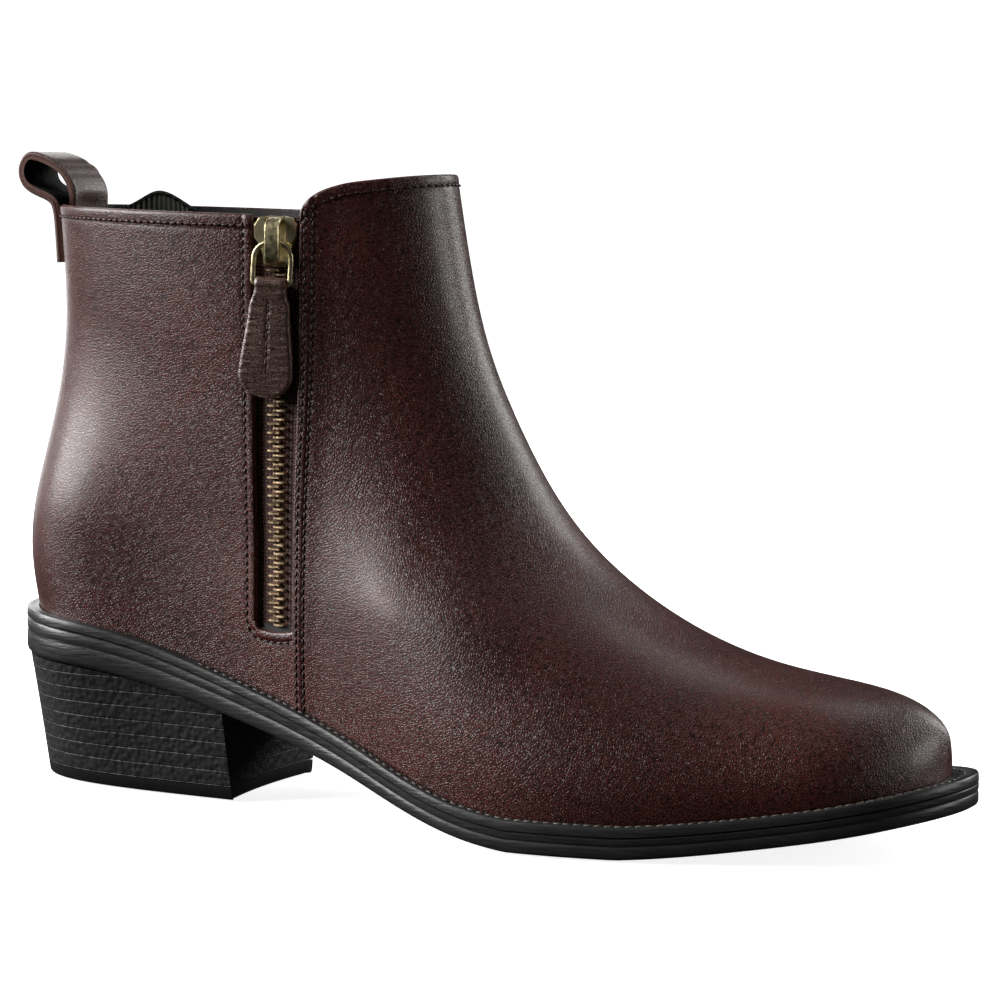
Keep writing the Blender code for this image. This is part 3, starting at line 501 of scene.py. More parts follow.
def margin(distance, round_edge, rows, puff, dip):
    """Height near a sewn edge: rounded at the edge, puffed between stitch rows and drawn down along them."""
    d = np.asarray(distance, float)
    fallen = round_edge - np.sqrt(np.clip(round_edge**2 - np.clip(round_edge - d, 0, None) ** 2, 0, None))
    height = -fallen
    last = rows[-1]
    height = height + puff * np.sin(np.pi * np.clip(d / last, 0, 1)) ** 0.7
    for row in rows:
        height = height - dip * np.exp(-(((d - row) / FURROW_WIDTH) ** 2))
    return height


def sill_sag(y):
    """How far the window's lower edge hangs down."""
    return WINDOW_SAG * np.sin(np.pi * np.clip((y - WINDOW_Y) / SLOT_WIDTH, 0, 1)) ** 0.8


def panel_mesh(name, outer, inner, keep=None, closed=False):
    """A sheet of leather between two grids of points, with its cut edges on a second material."""
    count, width = outer.shape[:2]
    keep = np.ones((count - 1, width - (0 if closed else 1)), bool) if keep is None else keep
    index = np.arange(count * width).reshape(count, width)
    nexts = np.roll(index, -1, 1) if closed else index[:, 1:]
    firsts = index if closed else index[:, :-1]
    cells = np.stack([firsts[:-1], nexts[:-1], nexts[1:], firsts[1:]], -1)
    total = count * width
    kept = cells[keep]
    walls = []
    tall = np.pad(keep, ((1, 1), (0, 0)))
    wide = np.roll(keep, 1, 1) if closed else np.pad(keep, ((0, 0), (1, 1)))[:, :-2]
    onward = np.roll(keep, -1, 1) if closed else np.pad(keep, ((0, 0), (1, 1)))[:, 2:]
    for gone, a, b in ((~tall[:-2], 0, 1), (~onward, 1, 2), (~tall[2:], 2, 3), (~wide, 3, 0)):
        edge = cells[keep & gone]
        walls.append(np.stack([edge[:, b], edge[:, a], edge[:, a] + total, edge[:, b] + total], 1))
    walls = np.concatenate(walls)
    faces = np.concatenate([kept, kept[:, ::-1] + total, walls])
    used = np.unique(faces)
    points = np.concatenate([outer.reshape(-1, 3), inner.reshape(-1, 3)])[used]
    mesh = bpy.data.meshes.new(name)
    mesh.from_pydata(points.tolist(), [], np.searchsorted(used, faces).tolist())
    mesh.update()
    marks = np.zeros(len(faces), int)
    marks[-len(walls):] = 1
    mesh.polygons.foreach_set("material_index", marks)
    return mesh


# Corrected-grain calf leather: satin, with a fine pebble of about 0.7 mm and a thin clear finish over it.
def leather(name, light, mid, dark, roughness, pebble=0.7, relief=0.06, coat=0.22):
    """A grained leather from three close colours, with painted shade darkening its creases."""
    made, tree, shader, place = start_material(
        name, Roughness=roughness, IOR=1.5, Coat_Weight=coat, Coat_Roughness=0.25,
    )
    cloud = add(tree, "ShaderNodeTexNoise", {"Vector": place, "Scale": 26, "Detail": 3, "Roughness": 0.6})
    tone = ramp(tree, cloud.outputs["Fac"], (0.34, dark), (0.5, mid), (0.68, light))
    shift = add(tree, "ShaderNodeTexNoise", {"Vector": place, "Scale": 420, "Detail": 2})
    moved = add(tree, "ShaderNodeVectorMath", {0: shift.outputs["Color"], 1: (0.0012, 0.0012, 0.0012)},
                operation="MULTIPLY")
    warped = add(tree, "ShaderNodeVectorMath", {0: place, 1: moved.outputs[0]}, operation="ADD")
    cells = add(tree, "ShaderNodeTexVoronoi", {"Vector": warped.outputs[0], "Scale": 1000 / pebble},
                feature="DISTANCE_TO_EDGE")
    plump = add(tree, "ShaderNodeMapRange", {"Value": cells.outputs["Distance"], "From Max": 0.28},
                interpolation_type="SMOOTHSTEP")
    # Painted shade: the colour is darkened along the grain's creases, where shade would fall.
    creased = ramp(tree, plump.outputs[0], (0.0, "#4c4848"), (0.55, "#ffffff"))
    crease_shaded_tone = add(tree, "ShaderNodeMix", {0: 1.0, 6: tone, 7: creased},  # its share and its two colours
                 data_type="RGBA", blend_type="MULTIPLY")
    tree.links.new(crease_shaded_tone.outputs[2], shader.inputs["Base Color"])
    broad = add(tree, "ShaderNodeTexNoise", {"Vector": place, "Scale": 160, "Detail": 2})
    under = link_bump(tree, shader, broad.outputs["Fac"], 0.10 * MM, 0.5)
    link_bump(tree, shader, plump.outputs[0], relief * MM, 1.0, under)
    return made


def fine_finish(name, scale, detail, dark, light, relief, **values):
    """A finish with two close shades in one fine noise, which also gives its relief in millimetres."""
    made, tree, shader, place = start_material(name, **values)
    noise = add(tree, "ShaderNodeTexNoise", {"Vector": place, "Scale": scale, "Detail": detail})
    tint(tree, shader, noise.outputs["Fac"], (0.3, dark), (0.7, light))
    link_bump(tree, shader, noise.outputs["Fac"], relief * MM)
    return made


upper_leather = leather("burgundy_satin_calf", "#5e261d", "#522019", "#461a14", 0.40)

# Cut leather shows its brown core, a little fuzzy.
raw_edge = fine_finish("cut_leather_edge", 1800, 3, "#3c2119", "#66392a", 0.15, Roughness=0.75)

COLLAR_ROUND = 0.7 * MM
COLLAR_ROW = 3.0 * MM  # from the collar to its row of stitches
COLLAR_RUN = 0.03  # levels below the collar over which its run is measured
COLLAR_STEPS = np.array([0, 0.06, 0.2, 0.4, 0.7, 1.1, 1.6, 2.1, 2.6, 3.0, 3.4, 3.9, 4.6, 5.6]) * MM


def collar_rows(angle, low, count):
    """Levels of the rows from a lower level up to the collar, close together along its sewn edge."""
    top = 1 - COLLAR_STEPS[::-1, None] / run_per_level(angle, 1.0, COLLAR_RUN)[None, :]
    share = np.linspace(0, 1, count, endpoint=False)[:, None]
    return np.concatenate([low + (top[0] - low) * share, top])


def collar_hem(count):
    """Height of the leather near the collar's sewn edge, for each row of a panel."""
    distance = np.full(count, FAR)
    distance[-len(COLLAR_STEPS):] = COLLAR_STEPS[::-1]
    return margin(distance, COLLAR_ROUND, (COLLAR_ROW,), 0.12 * MM, 0.16 * MM)[:, None]


REAR_COLUMNS, PAST_COLUMNS, LOW_ROWS, HIGH_ROWS = 150, 33, 26, 66
CORNER_RADIUS = 1.6 * MM
SILL_ANGLES = (-1.6, 1.1)  # roughly where the quarter starts and where the window does
window_column = REAR_COLUMNS + len(EDGE_STEPS) - 1
width = window_column + 1 + PAST_COLUMNS
past_y = np.linspace(WINDOW_Y, SEAM_Y + UNDERLAP, PAST_COLUMNS + 1)[1:]
corner_depth = np.clip(CORNER_RADIUS - (past_y - WINDOW_Y), 0, None)
lift = CORNER_RADIUS - np.sqrt(CORNER_RADIUS**2 - corner_depth**2)
sill = np.concatenate([
    np.full(window_column + 1, level_at(WINDOW_Y, WINDOW_Z + CORNER_RADIUS)),
    level_at(past_y, WINDOW_Z - sill_sag(past_y) + lift),
])
sill_angle = np.concatenate([
    np.linspace(*SILL_ANGLES, window_column + 1),
    angle_at(past_y, sill[window_column + 1 :]),
])
per_level = run_per_level(sill_angle, sill, 0.02)
low_rows = (sill - EDGE_STEPS[-1] / per_level) * np.linspace(0, 1, LOW_ROWS, endpoint=False)[:, None]
near_rows = sill - EDGE_STEPS[::-1, None] / per_level
grid_level = np.concatenate([low_rows, near_rows, collar_rows(sill_angle, sill, HIGH_ROWS)[1:]])
start = LOW_ROWS + len(EDGE_STEPS)
inner_seam = -angle_at(SEAM_Y + UNDERLAP, grid_level[:, :REAR_COLUMNS])
first = angle_at(WINDOW_Y - EDGE_STEPS[-1], grid_level[:, :REAR_COLUMNS])
grid_angle = np.concatenate([
    inner_seam + (first - inner_seam) * np.arange(REAR_COLUMNS) / REAR_COLUMNS,
    angle_at(WINDOW_Y - EDGE_STEPS[::-1], grid_level[:, REAR_COLUMNS : window_column + 1]),
    angle_at(past_y, grid_level[:, window_column + 1 :]),
], 1)
keep = np.ones((grid_level.shape[0] - 1, width - 1), bool)
keep[start - 1:, window_column:] = False
side_distance = np.full(width, FAR)
side_distance[REAR_COLUMNS : window_column + 1] = EDGE_STEPS[::-1]
below_distance = np.full(grid_level.shape[0], FAR)
below_distance[LOW_ROWS:start] = EDGE_STEPS[::-1]
above_window = np.arange(grid_level.shape[0])[:, None] >= start - 1
beside_window = np.arange(width)[None, :] >= window_column
to_window = np.where(above_window, side_distance[None, :], FAR)
to_window = np.where(beside_window, below_distance[:, None], to_window)
diagonal = np.hypot(side_distance[None, :], below_distance[:, None])
to_window = np.where(~above_window & ~beside_window, diagonal, to_window)
height = margin(to_window, 0.4 * MM, (WINDOW_ROW,), 0.30 * MM, 0.22 * MM) + collar_hem(grid_level.shape[0])
points = skin(grid_angle, grid_level)
normals = skin_normal(grid_angle, grid_level)
outer = points + normals * (height + crease_height(points))[..., None]
inner = points - normals * QUARTER_THICK
mesh = panel_mesh("quarter", outer, inner, keep)
quarter = add_piece("rear_quarter_leather", mesh, upper_leather, raw_edge, sharp=50)
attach(quarter, "root")
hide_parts("upper")

# Front panel
# Vamp and shaft front are one sheet of the same leather, wiped over the instep. Its rear edges lap over the
# quarter and are held by two rows of stitches, with the cut edge left showing.

PANEL_THICK = 0.85 * MM
SEAM_ROWS = (1.3 * MM, 3.3 * MM)  # from the panel's edge to its two rows of stitches
MIDDLE, FRONT_ROWS = 230, 84
REAR_ANGLE = 1.2  # roughly where the panel's rear edges lie, for the spacing of its rows
CLEAR_LAP = 0.05 * MM  # between the lapped edge and the quarter
FLUSH_START, FLUSH_RUN = 4 * MM, 5 * MM  # where the panel's inner face comes down to the skin


def seam_height(distance):
    """Height of the panel near its rear edge, which is lapped over the quarter and sewn twice."""
    lap = PANEL_STEP * (1 - smooth_step(distance / LAP_WIDTH))
    return lap + margin(distance, 0.22 * MM, SEAM_ROWS, 0.28 * MM, 0.24 * MM)


front_steps = MM * np.array(
    [0, 0.05, 0.12, 0.22, 0.4, 0.7, 1.0, 1.3, 1.7, 2.1, 2.5, 2.9, 3.3, 3.7, 4.2, 5.0, 6.2, 7.6, 9.0]
)
edge_count = len(front_steps)
front_width = 2 * edge_count + MIDDLE
front_levels = collar_rows(np.linspace(REAR_ANGLE, 2 * np.pi - REAR_ANGLE, front_width), 0.0, FRONT_ROWS)
front_angle = np.zeros(front_levels.shape)
for k, step in enumerate(front_steps):
    front_angle[:, k] = angle_at(SEAM_Y + step, front_levels[:, k])
    front_angle[:, -1 - k] = 2 * np.pi - angle_at(SEAM_Y + step, front_levels[:, -1 - k])
first = angle_at(SEAM_Y + front_steps[-1], front_levels)
for k in range(edge_count, edge_count + MIDDLE):
    share = (k - edge_count + 1) / (MIDDLE + 1)
    front_angle[:, k] = first[:, k] + (2 * np.pi - 2 * first[:, k]) * share
front_distance = np.full(front_width, FAR)
front_distance[:edge_count] = front_steps
front_distance[-edge_count:] = front_steps[::-1]
points = skin(front_angle, front_levels)
normals = skin_normal(front_angle, front_levels)
height = seam_height(front_distance)[None, :] + collar_hem(front_levels.shape[0])
outer = points + normals * (height + crease_height(points))[..., None]
flush = smooth_step((front_distance - FLUSH_START) / FLUSH_RUN)
sunk = CLEAR_LAP - (PANEL_THICK + GAP) * flush
inner = points + normals * sunk[None, :, None]
mesh = panel_mesh("front_panel", outer, inner)
front_panel = add_piece("front_panel_leather", mesh, upper_leather, raw_edge, sharp=50)
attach(front_panel, "root")
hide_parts("upper")

# Lining
# Thin black leather inside the whole upper, sewn to it along the collar. It is cut away behind the zip's
# window, where the tape takes its place.

LINING_DEPTH = 1.3 * MM
LINING_THICK = 0.7 * MM
LINING_BELOW = 0.5 * MM  # how far the lining ends below the collar
LINING_ROWS = 70
LINING_COLUMNS = (0, 40, 52, 200)  # at the back, at the zip window's two edges, and round at the back again

# Thin dyed leather: matt and nearly black.
lining_leather = fine_finish("black_lining_leather", 900, 2, "#171414", "#2a2422", 0.08, Roughness=0.6)

column_at = np.arange(LINING_COLUMNS[-1])
run = run_per_level(2 * np.pi * column_at / LINING_COLUMNS[-1], 1.0, COLLAR_RUN)
lining_levels = np.linspace(0, 1, LINING_ROWS)[:, None] * (1 - LINING_BELOW / run[None, :])
stops = [0, angle_at(WINDOW_Y, lining_levels), angle_at(SEAM_Y, lining_levels), 2 * np.pi]
lining_angle = np.zeros(lining_levels.shape)
for k, (low, high) in enumerate(zip(LINING_COLUMNS, LINING_COLUMNS[1:])):
    lining_angle += (stops[k + 1] - stops[k]) * np.clip((column_at - low) / (high - low), 0, 1)
points = skin(lining_angle, lining_levels)
normals = skin_normal(lining_angle, lining_levels)
behind = (column_at >= LINING_COLUMNS[1]) & (column_at < LINING_COLUMNS[2])
keep = (points[:-1, :, 2] <= WINDOW_Z) | ~behind[None, :]
mesh = panel_mesh("lining", points - normals * LINING_DEPTH, points - normals * (LINING_DEPTH + LINING_THICK),
                  keep, closed=True)
lining = add_piece("upper_lining", mesh, lining_leather, lining_leather)
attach(lining, "root")
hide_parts("upper")

# Insole
# A thin board covered in black leather. It lies on the sole inside the foot of the upper, a little clear of
# the leather all round.

BOARD_INSET = 2.6 * MM
BOARD_HEIGHT = 2.6 * MM
BOARD_POINTS = 180


def board_top(t):
    return sole_top(t) + GAP + BOARD_HEIGHT


foot_ring = move_in(skin(2 * np.pi * np.arange(BOARD_POINTS) / BOARD_POINTS, 0.0), BOARD_INSET)
rows = []
for level_of in (upper_foot, board_top):
    ring = foot_ring.copy()
    ring[:, 2] = level_of(station(ring[:, 1]))
    rows.append(ring)
rows = close_over(rows[0], upper_foot)[::-1] + rows + close_over(rows[1], board_top)
insole = add_piece("insole_board", grid_mesh("insole", rows, closed=True), lining_leather)
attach(insole, "root")
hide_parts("insole")

# Welt
# A thin black band laid on the edge of the sole, round the foot of the upper. It is waxed like the sole's
# edge, and sewn down with grey thread.

welt_angle = 2 * np.pi * np.arange(SOLE_POINTS) / SOLE_POINTS
foot = skin(welt_angle, 0.0)
foot_station = station(foot[:, 1])
inner_low = move_in(foot, -GAP)
inner_low[:, 2] = upper_foot(foot_station)
inner_high = move_in(skin(welt_angle, 0.03), -GAP)
inner_high[:, 2] = welt_top(station(inner_high[:, 1]))
WELT_PROFILE = ((0.0, 0.0), (0.35, 0.0), (0.8, 0.1), (0.95, 0.35), (1.0, 0.8))
rows = [inner_low]
for share, setback in WELT_PROFILE:
    rows.append(sole_ring(lambda t: upper_foot(t) + (welt_top(t) - upper_foot(t)) * share, setback * MM))
edge = rows[-1]
for share, drop in ((0.25, 0.0), (0.42, 0.15), (0.55, 0.15), (0.72, 0.0)):
    between = edge + (inner_high - edge) * share
    between[:, 2] = welt_top(station(between[:, 1])) - drop * MM
    rows.append(between)
rows += [inner_high, inner_low]
welt_rubber = sole_rubber.copy()
welt_rubber.name = "waxed_black_welt"
welt = add_piece("welt_band", grid_mesh("welt", rows, closed=True), welt_rubber)
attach(welt, "root")
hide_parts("welt")

# Heel
# A moulded block that imitates stacked leather, with a coarse grain in layers and a line between them. Its
# breast is hollowed a little.

LIFT_WIDTH = 46 * MM
LIFT_HEIGHT = 3.6 * MM
LIFT_SQUARE = 4.7
HEEL_INSET = 0.8 * MM
LAYER_HEIGHT = 4.05 * MM
BREAST_STATION = 0.272
BREAST_HOLLOW = 1.6 * MM
HEEL_SIDE, BREAST_POINTS, HEEL_ROWS = 70, 16, 90


def heel_ring(z, setback=0.0):
    """A section of the heel at the given heights, one for each of its points."""
    half = []
    z = np.broadcast_to(z, (2 * (HEEL_SIDE + BREAST_POINTS) - 2,))
    outer_z = z[: HEEL_SIDE + BREAST_POINTS]
    inner_z = np.append(z[HEEL_SIDE + BREAST_POINTS - 1 :], z[0])[::-1]
    for side, heights in ((1, outer_z), (-1, inner_z)):
        share = (heights - LIFT_HEIGHT) / (HEEL_RISE - LIFT_HEIGHT)
        q = np.cos(np.pi / 2 * np.arange(HEEL_SIDE) / (HEEL_SIDE - 1))
        q = np.append(q, np.zeros(BREAST_POINTS))
        t = BREAST_STATION * (1 - q)
        top_x = half_width(t, side) - HEEL_INSET * ends(t) ** 0.3
        top_y = y_at(t) + HEEL_INSET * q
        low_x = LIFT_WIDTH / 2 * np.sqrt(np.clip(1 - q**LIFT_SQUARE, 0, None))
        low_y = LIFT_LENGTH * (0.5 - q)
        drawn = 1 - setback / (LIFT_WIDTH / 2)
        x = (low_x + (top_x - low_x) * share) * drawn
        y = low_y + (top_y - low_y) * share + setback * q
        across = 1 - np.clip(np.arange(len(q)) - HEEL_SIDE + 1, 0, None) / BREAST_POINTS
        behind = np.arange(len(q)) >= HEEL_SIDE
        y = y - behind * (setback + BREAST_HOLLOW * (1 - across**2))
        half.append(np.stack([side * x * across, y, heights], 1))
    outer_half, inner_half = half
    return np.concatenate([outer_half, inner_half[-2:0:-1]])


rows = []
heel_base = LIFT_HEIGHT + GAP
for share in np.linspace(0, 1, HEEL_ROWS):
    z = heel_base
    for _ in range(6):  # the heel's top follows the sole, whose height depends on the ring that meets it
        ring = heel_ring(z)
        top = underside(station(ring[:, 1])) - GAP
        z = heel_base + (top - heel_base) * share
    ring = heel_ring(z)
    ring[:, 2] = z
    rows.append(ring)

# Moulded rubber: matt, with a coarse grain and a thin line between its layers.
heel_stack, tree, shader, place = start_material("moulded_heel_stack", Roughness=0.55, IOR=1.5)
heel = add_piece("heel_block", grid_mesh("heel", rows, closed=True, capped=True), heel_stack)
shade = add(tree, "ShaderNodeTexNoise", {"Vector": place, "Scale": 300, "Detail": 4})
tint(tree, shader, shade.outputs["Fac"], (0.3, "#191919"), (0.7, "#242424"))
parts = add(tree, "ShaderNodeSeparateXYZ", {"Vector": place})
grain = add(tree, "ShaderNodeTexVoronoi", {"Vector": place, "Scale": 620}, feature="SMOOTH_F1")
layers = add(tree, "ShaderNodeMath", {0: parts.outputs["Z"], 1: LAYER_HEIGHT / 2}, operation="PINGPONG")
line = add(tree, "ShaderNodeMapRange", {"Value": layers.outputs[0], "From Max": 0.22 * MM},
           interpolation_type="SMOOTHSTEP")
under = link_bump(tree, shader, line.outputs[0], 0.11 * MM, 1.0)
link_bump(tree, shader, grain.outputs["Distance"], 0.5 * MM, 0.7, under)
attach(heel, "root")
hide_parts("heel")

# Heel lift
# The wearing layer under the heel, of plain black rubber. It is fixed on from below and trimmed smooth round
# its edge.

LIFT_PROFILE = ((0.0, 0.8), (0.25, 0.3), (0.8, 0.0), (LIFT_HEIGHT / MM, 0.0))  # height and setback, in mm
rows = [heel_ring(high * MM, setback * MM) for high, setback in LIFT_PROFILE]
# Plain rubber: darker than the sole's edge, and without its wax.
lift_rubber = fine_finish("black_lift_rubber", 700, 3, "#0d0d0d", "#161616", 0.06, Roughness=0.5, IOR=1.5)
heel_lift = add_piece("heel_lift_edge", grid_mesh("heel_lift", rows, closed=True, capped=True), lift_rubber)
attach(heel_lift, "root")
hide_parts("heel_lift")

# Seam stitches
# Waxed brown thread, drawn 0.68 mm thick so that it shows: two rows down each seam of the front panel, one
# round the collar and one round the zip's window. Each stitch is a small rounded bar whose ends dip in.

LEAN = 0.12  # how far a stitch may lean, as a share of its length


def start_tree(name, *inputs):
    """A tree of geometry nodes with its named inputs, a line among them, and one output."""
    tree = bpy.data.node_groups.new(name, "GeometryNodeTree")
    for label, kind in (("Line", "Geometry"),) + inputs:
        tree.interface.new_socket(label, in_out="INPUT", socket_type="NodeSocket" + kind)
    tree.interface.new_socket("Made", in_out="OUTPUT", socket_type="NodeSocketGeometry")
    tangent = add(tree, "GeometryNodeInputTangent").outputs[0]
    out = add(tree, "GeometryNodeInputNamedAttribute", {"Name": "out"}, data_type="FLOAT_VECTOR")
    return tree, add(tree, "NodeGroupInput").outputs, tangent, out.outputs["Attribute"]


def set_along(tree, given, spacing, way, out, shape, material):
    """Sets shapes at an even spacing along the line, with their X along one way and their Z along another."""
    line = add(tree, "GeometryNodeMeshToCurve", {"Mesh": given["Line"]})
    evenly = add(tree, "GeometryNodeResampleCurve", {"Curve": line.outputs[0], "Length": given[spacing]},
                 mode="LENGTH")
    first = add(tree, "FunctionNodeAlignRotationToVector", {"Vector": way}, axis="X")
    turned = add(tree, "FunctionNodeAlignRotationToVector", {"Rotation": first.outputs[0], "Vector": out},
                 axis="Z", pivot_axis="X")
    placed = add(tree, "GeometryNodeInstanceOnPoints", {
        "Points": evenly.outputs[0], "Rotation": turned.outputs[0], **shape,
    })
    real = add(tree, "GeometryNodeRealizeInstances", {0: placed.outputs[0]})
    painted = add(tree, "GeometryNodeSetMaterial", {0: real.outputs[0], "Material": given[material]})
    add(tree, "NodeGroupOutput", {0: painted.outputs[0]})
    return tree


def stitch_tree():
    """Lays stitches along a seam whose points know the way out of the leather."""
    tree, given, tangent, out = start_tree(
        "stitches_along_a_seam", ("Pitch", "Float"), ("Size", "Vector"), ("Thread", "Material"),
    )
    lean = add(tree, "FunctionNodeRandomValue", {"Min": (-LEAN,) * 3, "Max": (LEAN,) * 3, "Seed": 4},
               data_type="FLOAT_VECTOR")
    leaning = add(tree, "ShaderNodeVectorMath", {0: tangent, 1: lean.outputs[0]}, operation="ADD")
    bar = add(tree, "GeometryNodeMeshUVSphere", {"Segments": 8, "Rings": 6, "Radius": 0.5})
    shape = {"Instance": bar.outputs["Mesh"], "Scale": given["Size"]}
    return set_along(tree, given, "Pitch", leaning.outputs[0], out, shape, "Thread")


STITCHES = stitch_tree()


def lines_mesh(name, lines):
    """Loose lines, each given as its points and the ways out of the leather there."""
    mesh = bpy.data.meshes.new(name)
    points = np.concatenate([line[0] for line in lines])
    outs = np.concatenate([line[1] for line in lines])
    edges, first = [], 0
    for line in lines:
        count = len(line[0])
        edges += [(first + k, first + k + 1) for k in range(count - 1)]
        first += count
    mesh.from_pydata(points.tolist(), edges, [])
    mark = mesh.attributes.new("out", "FLOAT_VECTOR", "POINT")
    mark.data.foreach_set("vector", outs.ravel())
    return mesh


def grown(name, mesh, tree, **values):
    """The plain mesh that a node tree grows on another mesh."""
    holder = bpy.data.objects.new(name, mesh)
    bpy.context.scene.collection.objects.link(holder)
    modifier = holder.modifiers.new("grow", "NODES")
    modifier.node_group = tree
    for item in tree.interface.items_tree:
        if item.item_type == "SOCKET" and item.in_out == "INPUT" and item.name in values:
            modifier[item.identifier] = values[item.name]
    evaluated = holder.evaluated_get(bpy.context.evaluated_depsgraph_get())
    made = bpy.data.meshes.new_from_object(evaluated)
    made.name = name
    bpy.data.objects.remove(holder, do_unlink=True)
    return made


def sew(name, lines, pitch, length, thick, thread, high=0.8):
    """A piece of stitches along lines."""
    made = grown(name, lines_mesh(name, lines), STITCHES, Pitch=pitch * MM,
                 Size=(length * MM, thick * MM, thick * high * MM), Thread=thread)
    return add_piece(name, made, sharp=180)


def thread_material(name, light, dark):
    """Waxed polyester thread: a soft shine, with its twist as a fine unevenness."""
    return fine_finish(name, 1500, 2, dark, light, 0.12, Roughness=0.5)


brown_thread = thread_material("waxed_brown_thread", "#3c1f19", "#20100d")
STITCH_PITCH = 2.2
SUNK = 0.2 * MM


def seam_line(step, side):
    """A line down the front panel at a distance from its edge, with its height on the leather."""
    top = collar_z_at(SEAM_Y + step, side) - 3.2 * MM
    z = np.linspace(top, upper_foot(station(SEAM_Y)) + 2.2 * MM, 90)
    raised = float(seam_height(step)) + SUNK
    return on_skin(np.full(len(z), SEAM_Y + step), z, side, np.full(len(z), raised))


def collar_z_at(y, side):
    return float(skin(angle_at(y, 1.0, side), 1.0)[2])


def collar_line(angles):
    """The collar's row of stitches over the given angles."""
    line_level = 1 - COLLAR_ROW / run_per_level(angles, 1.0, COLLAR_RUN)
    normal = skin_normal(angles, line_level)
    return skin(angles, line_level) + normal * SUNK, normal


window_top = collar_z_at(WINDOW_Y - WINDOW_ROW, 1) - COLLAR_ROW
turn = np.linspace(0, np.pi / 2, 8)[1:-1]
turn_radius = CORNER_RADIUS + WINDOW_ROW
down = np.linspace(window_top, WINDOW_Z + CORNER_RADIUS, 60)
across_y = np.linspace(WINDOW_Y + CORNER_RADIUS, SEAM_Y - 0.4 * MM, 16)
across_z = WINDOW_Z - WINDOW_ROW - sill_sag(across_y)
line_y = np.concatenate([
    np.full(len(down), WINDOW_Y - WINDOW_ROW),
    WINDOW_Y + CORNER_RADIUS - turn_radius * np.cos(turn),
    across_y,
])
line_z = np.concatenate([down, WINDOW_Z + CORNER_RADIUS - turn_radius * np.sin(turn) - 0.2 * MM, across_z])
window_line = on_skin(line_y, line_z, 1, np.full(len(line_y), SUNK))
seam_angle = float(angle_at(SEAM_Y, 1.0))
rear_angles = np.linspace(float(angle_at(WINDOW_Y - WINDOW_ROW, 0.98)), -seam_angle + 0.01, 220)
front_angles = np.linspace(seam_angle + 0.075, 2 * np.pi - seam_angle - 0.075, 260)
seam_lines = [seam_line(row, side) for side in (1, -1) for row in SEAM_ROWS]
seam_lines += [window_line, collar_line(rear_angles), collar_line(front_angles)]
stitches = sew("upper_seam_stitches", seam_lines, STITCH_PITCH, 1.85, 0.68, brown_thread)
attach(stitches, "root")

# Welt stitches
# Grey thread sewn down through the welt, from the waist to the toe on both sides. It is thicker than the
# upper's and lies in a shallow groove.

grey_thread = thread_material("grey_welt_thread", "#6a625a", "#3c3733")
top_ring = edge + (inner_high - edge) * 0.48
top_ring[:, 2] = welt_top(station(top_ring[:, 1])) - 0.05 * MM
ahead = np.flatnonzero(station(top_ring[:, 1]) > 0.25)
welt_line = (top_ring[ahead], np.tile([0.0, 0.0, 1.0], (len(ahead), 1)))
welt_stitches = sew("welt_stitches", [welt_line], 2.6, 2.1, 0.75, grey_thread)
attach(welt_stitches, "root")

# Zip tape
# Brown woven tape that carries the teeth behind the slot. Its edges are hidden, because they are sewn in
# under the leather on both sides.

ZIP_Y = SEAM_Y - SLOT_WIDTH / 2
SEAT = 2.6 * MM
TAPE_WIDTH = 26 * MM
TAPE_HEIGHT = 0.9 * MM
TAPE_RAISED = 0.7 * MM
TAPE_ROWS, TAPE_COLUMNS = 150, 27
SLIDER_Z = collar_z_at(ZIP_Y, 1) - 7 * MM
CROWN_TOP, CROWN_BOTTOM = 6.4 * MM, 6.2 * MM

tape_z = np.linspace(WINDOW_Z - 6 * MM, SLIDER_Z + CROWN_TOP, TAPE_ROWS)[:, None]
tape_y = ZIP_Y + TAPE_WIDTH * (np.linspace(0, 1, TAPE_COLUMNS) - 0.5)[None, :]
tape_y, tape_z = np.broadcast_arrays(tape_y, tape_z)
points, normals = on_skin(tape_y, tape_z)
# Woven polyester: no shine, only a faint fuzz, with ribs 1 mm apart both ways.
brown_tape, tree, shader, place = start_material("brown_woven_tape", Roughness=0.85, Sheen_Weight=0.2)
ribs = add(tree, "ShaderNodeTexWave", {"Vector": place, "Scale": 320, "Distortion": 1.5, "Detail": 1.0},
           bands_direction="Z")
warp = add(tree, "ShaderNodeTexWave", {"Vector": place, "Scale": 300, "Distortion": 1.0},
           bands_direction="Y")
weave = add(tree, "ShaderNodeMath", {0: ribs.outputs["Fac"], 1: warp.outputs["Fac"]}, operation="MULTIPLY")
tint(tree, shader, weave.outputs[0], (0.1, "#33201b"), (0.8, "#7a5145"))
link_bump(tree, shader, weave.outputs[0], 0.25 * MM)
mesh = panel_mesh("tape", points - normals * (SEAT - TAPE_RAISED), points - normals * (SEAT + TAPE_HEIGHT))
tape = add_piece("zip_tape_weave", mesh, brown_tape, brown_tape)
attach(tape, "root")
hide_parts("zip_tape")

# Zip teeth
# Stamped brass teeth clamped on both tapes, 2.35 mm apart on each. The zip is closed, so they lock into each
# other along the middle.

TOOTH_PITCH = 2.35 * MM
TOOTH = (
    # place along the tooth, half-height, half-depth, all in mm
    (-1.00, 0.18, 0.55),
    (-0.85, 0.36, 0.80),
    (-0.50, 0.40, 0.85),
    (-0.20, 0.26, 0.80),
    (0.20, 0.28, 0.85),
    (0.60, 0.36, 0.95),
    (2.20, 0.38, 1.00),
    (2.55, 0.34, 0.90),
    (2.70, 0.20, 0.65),
)


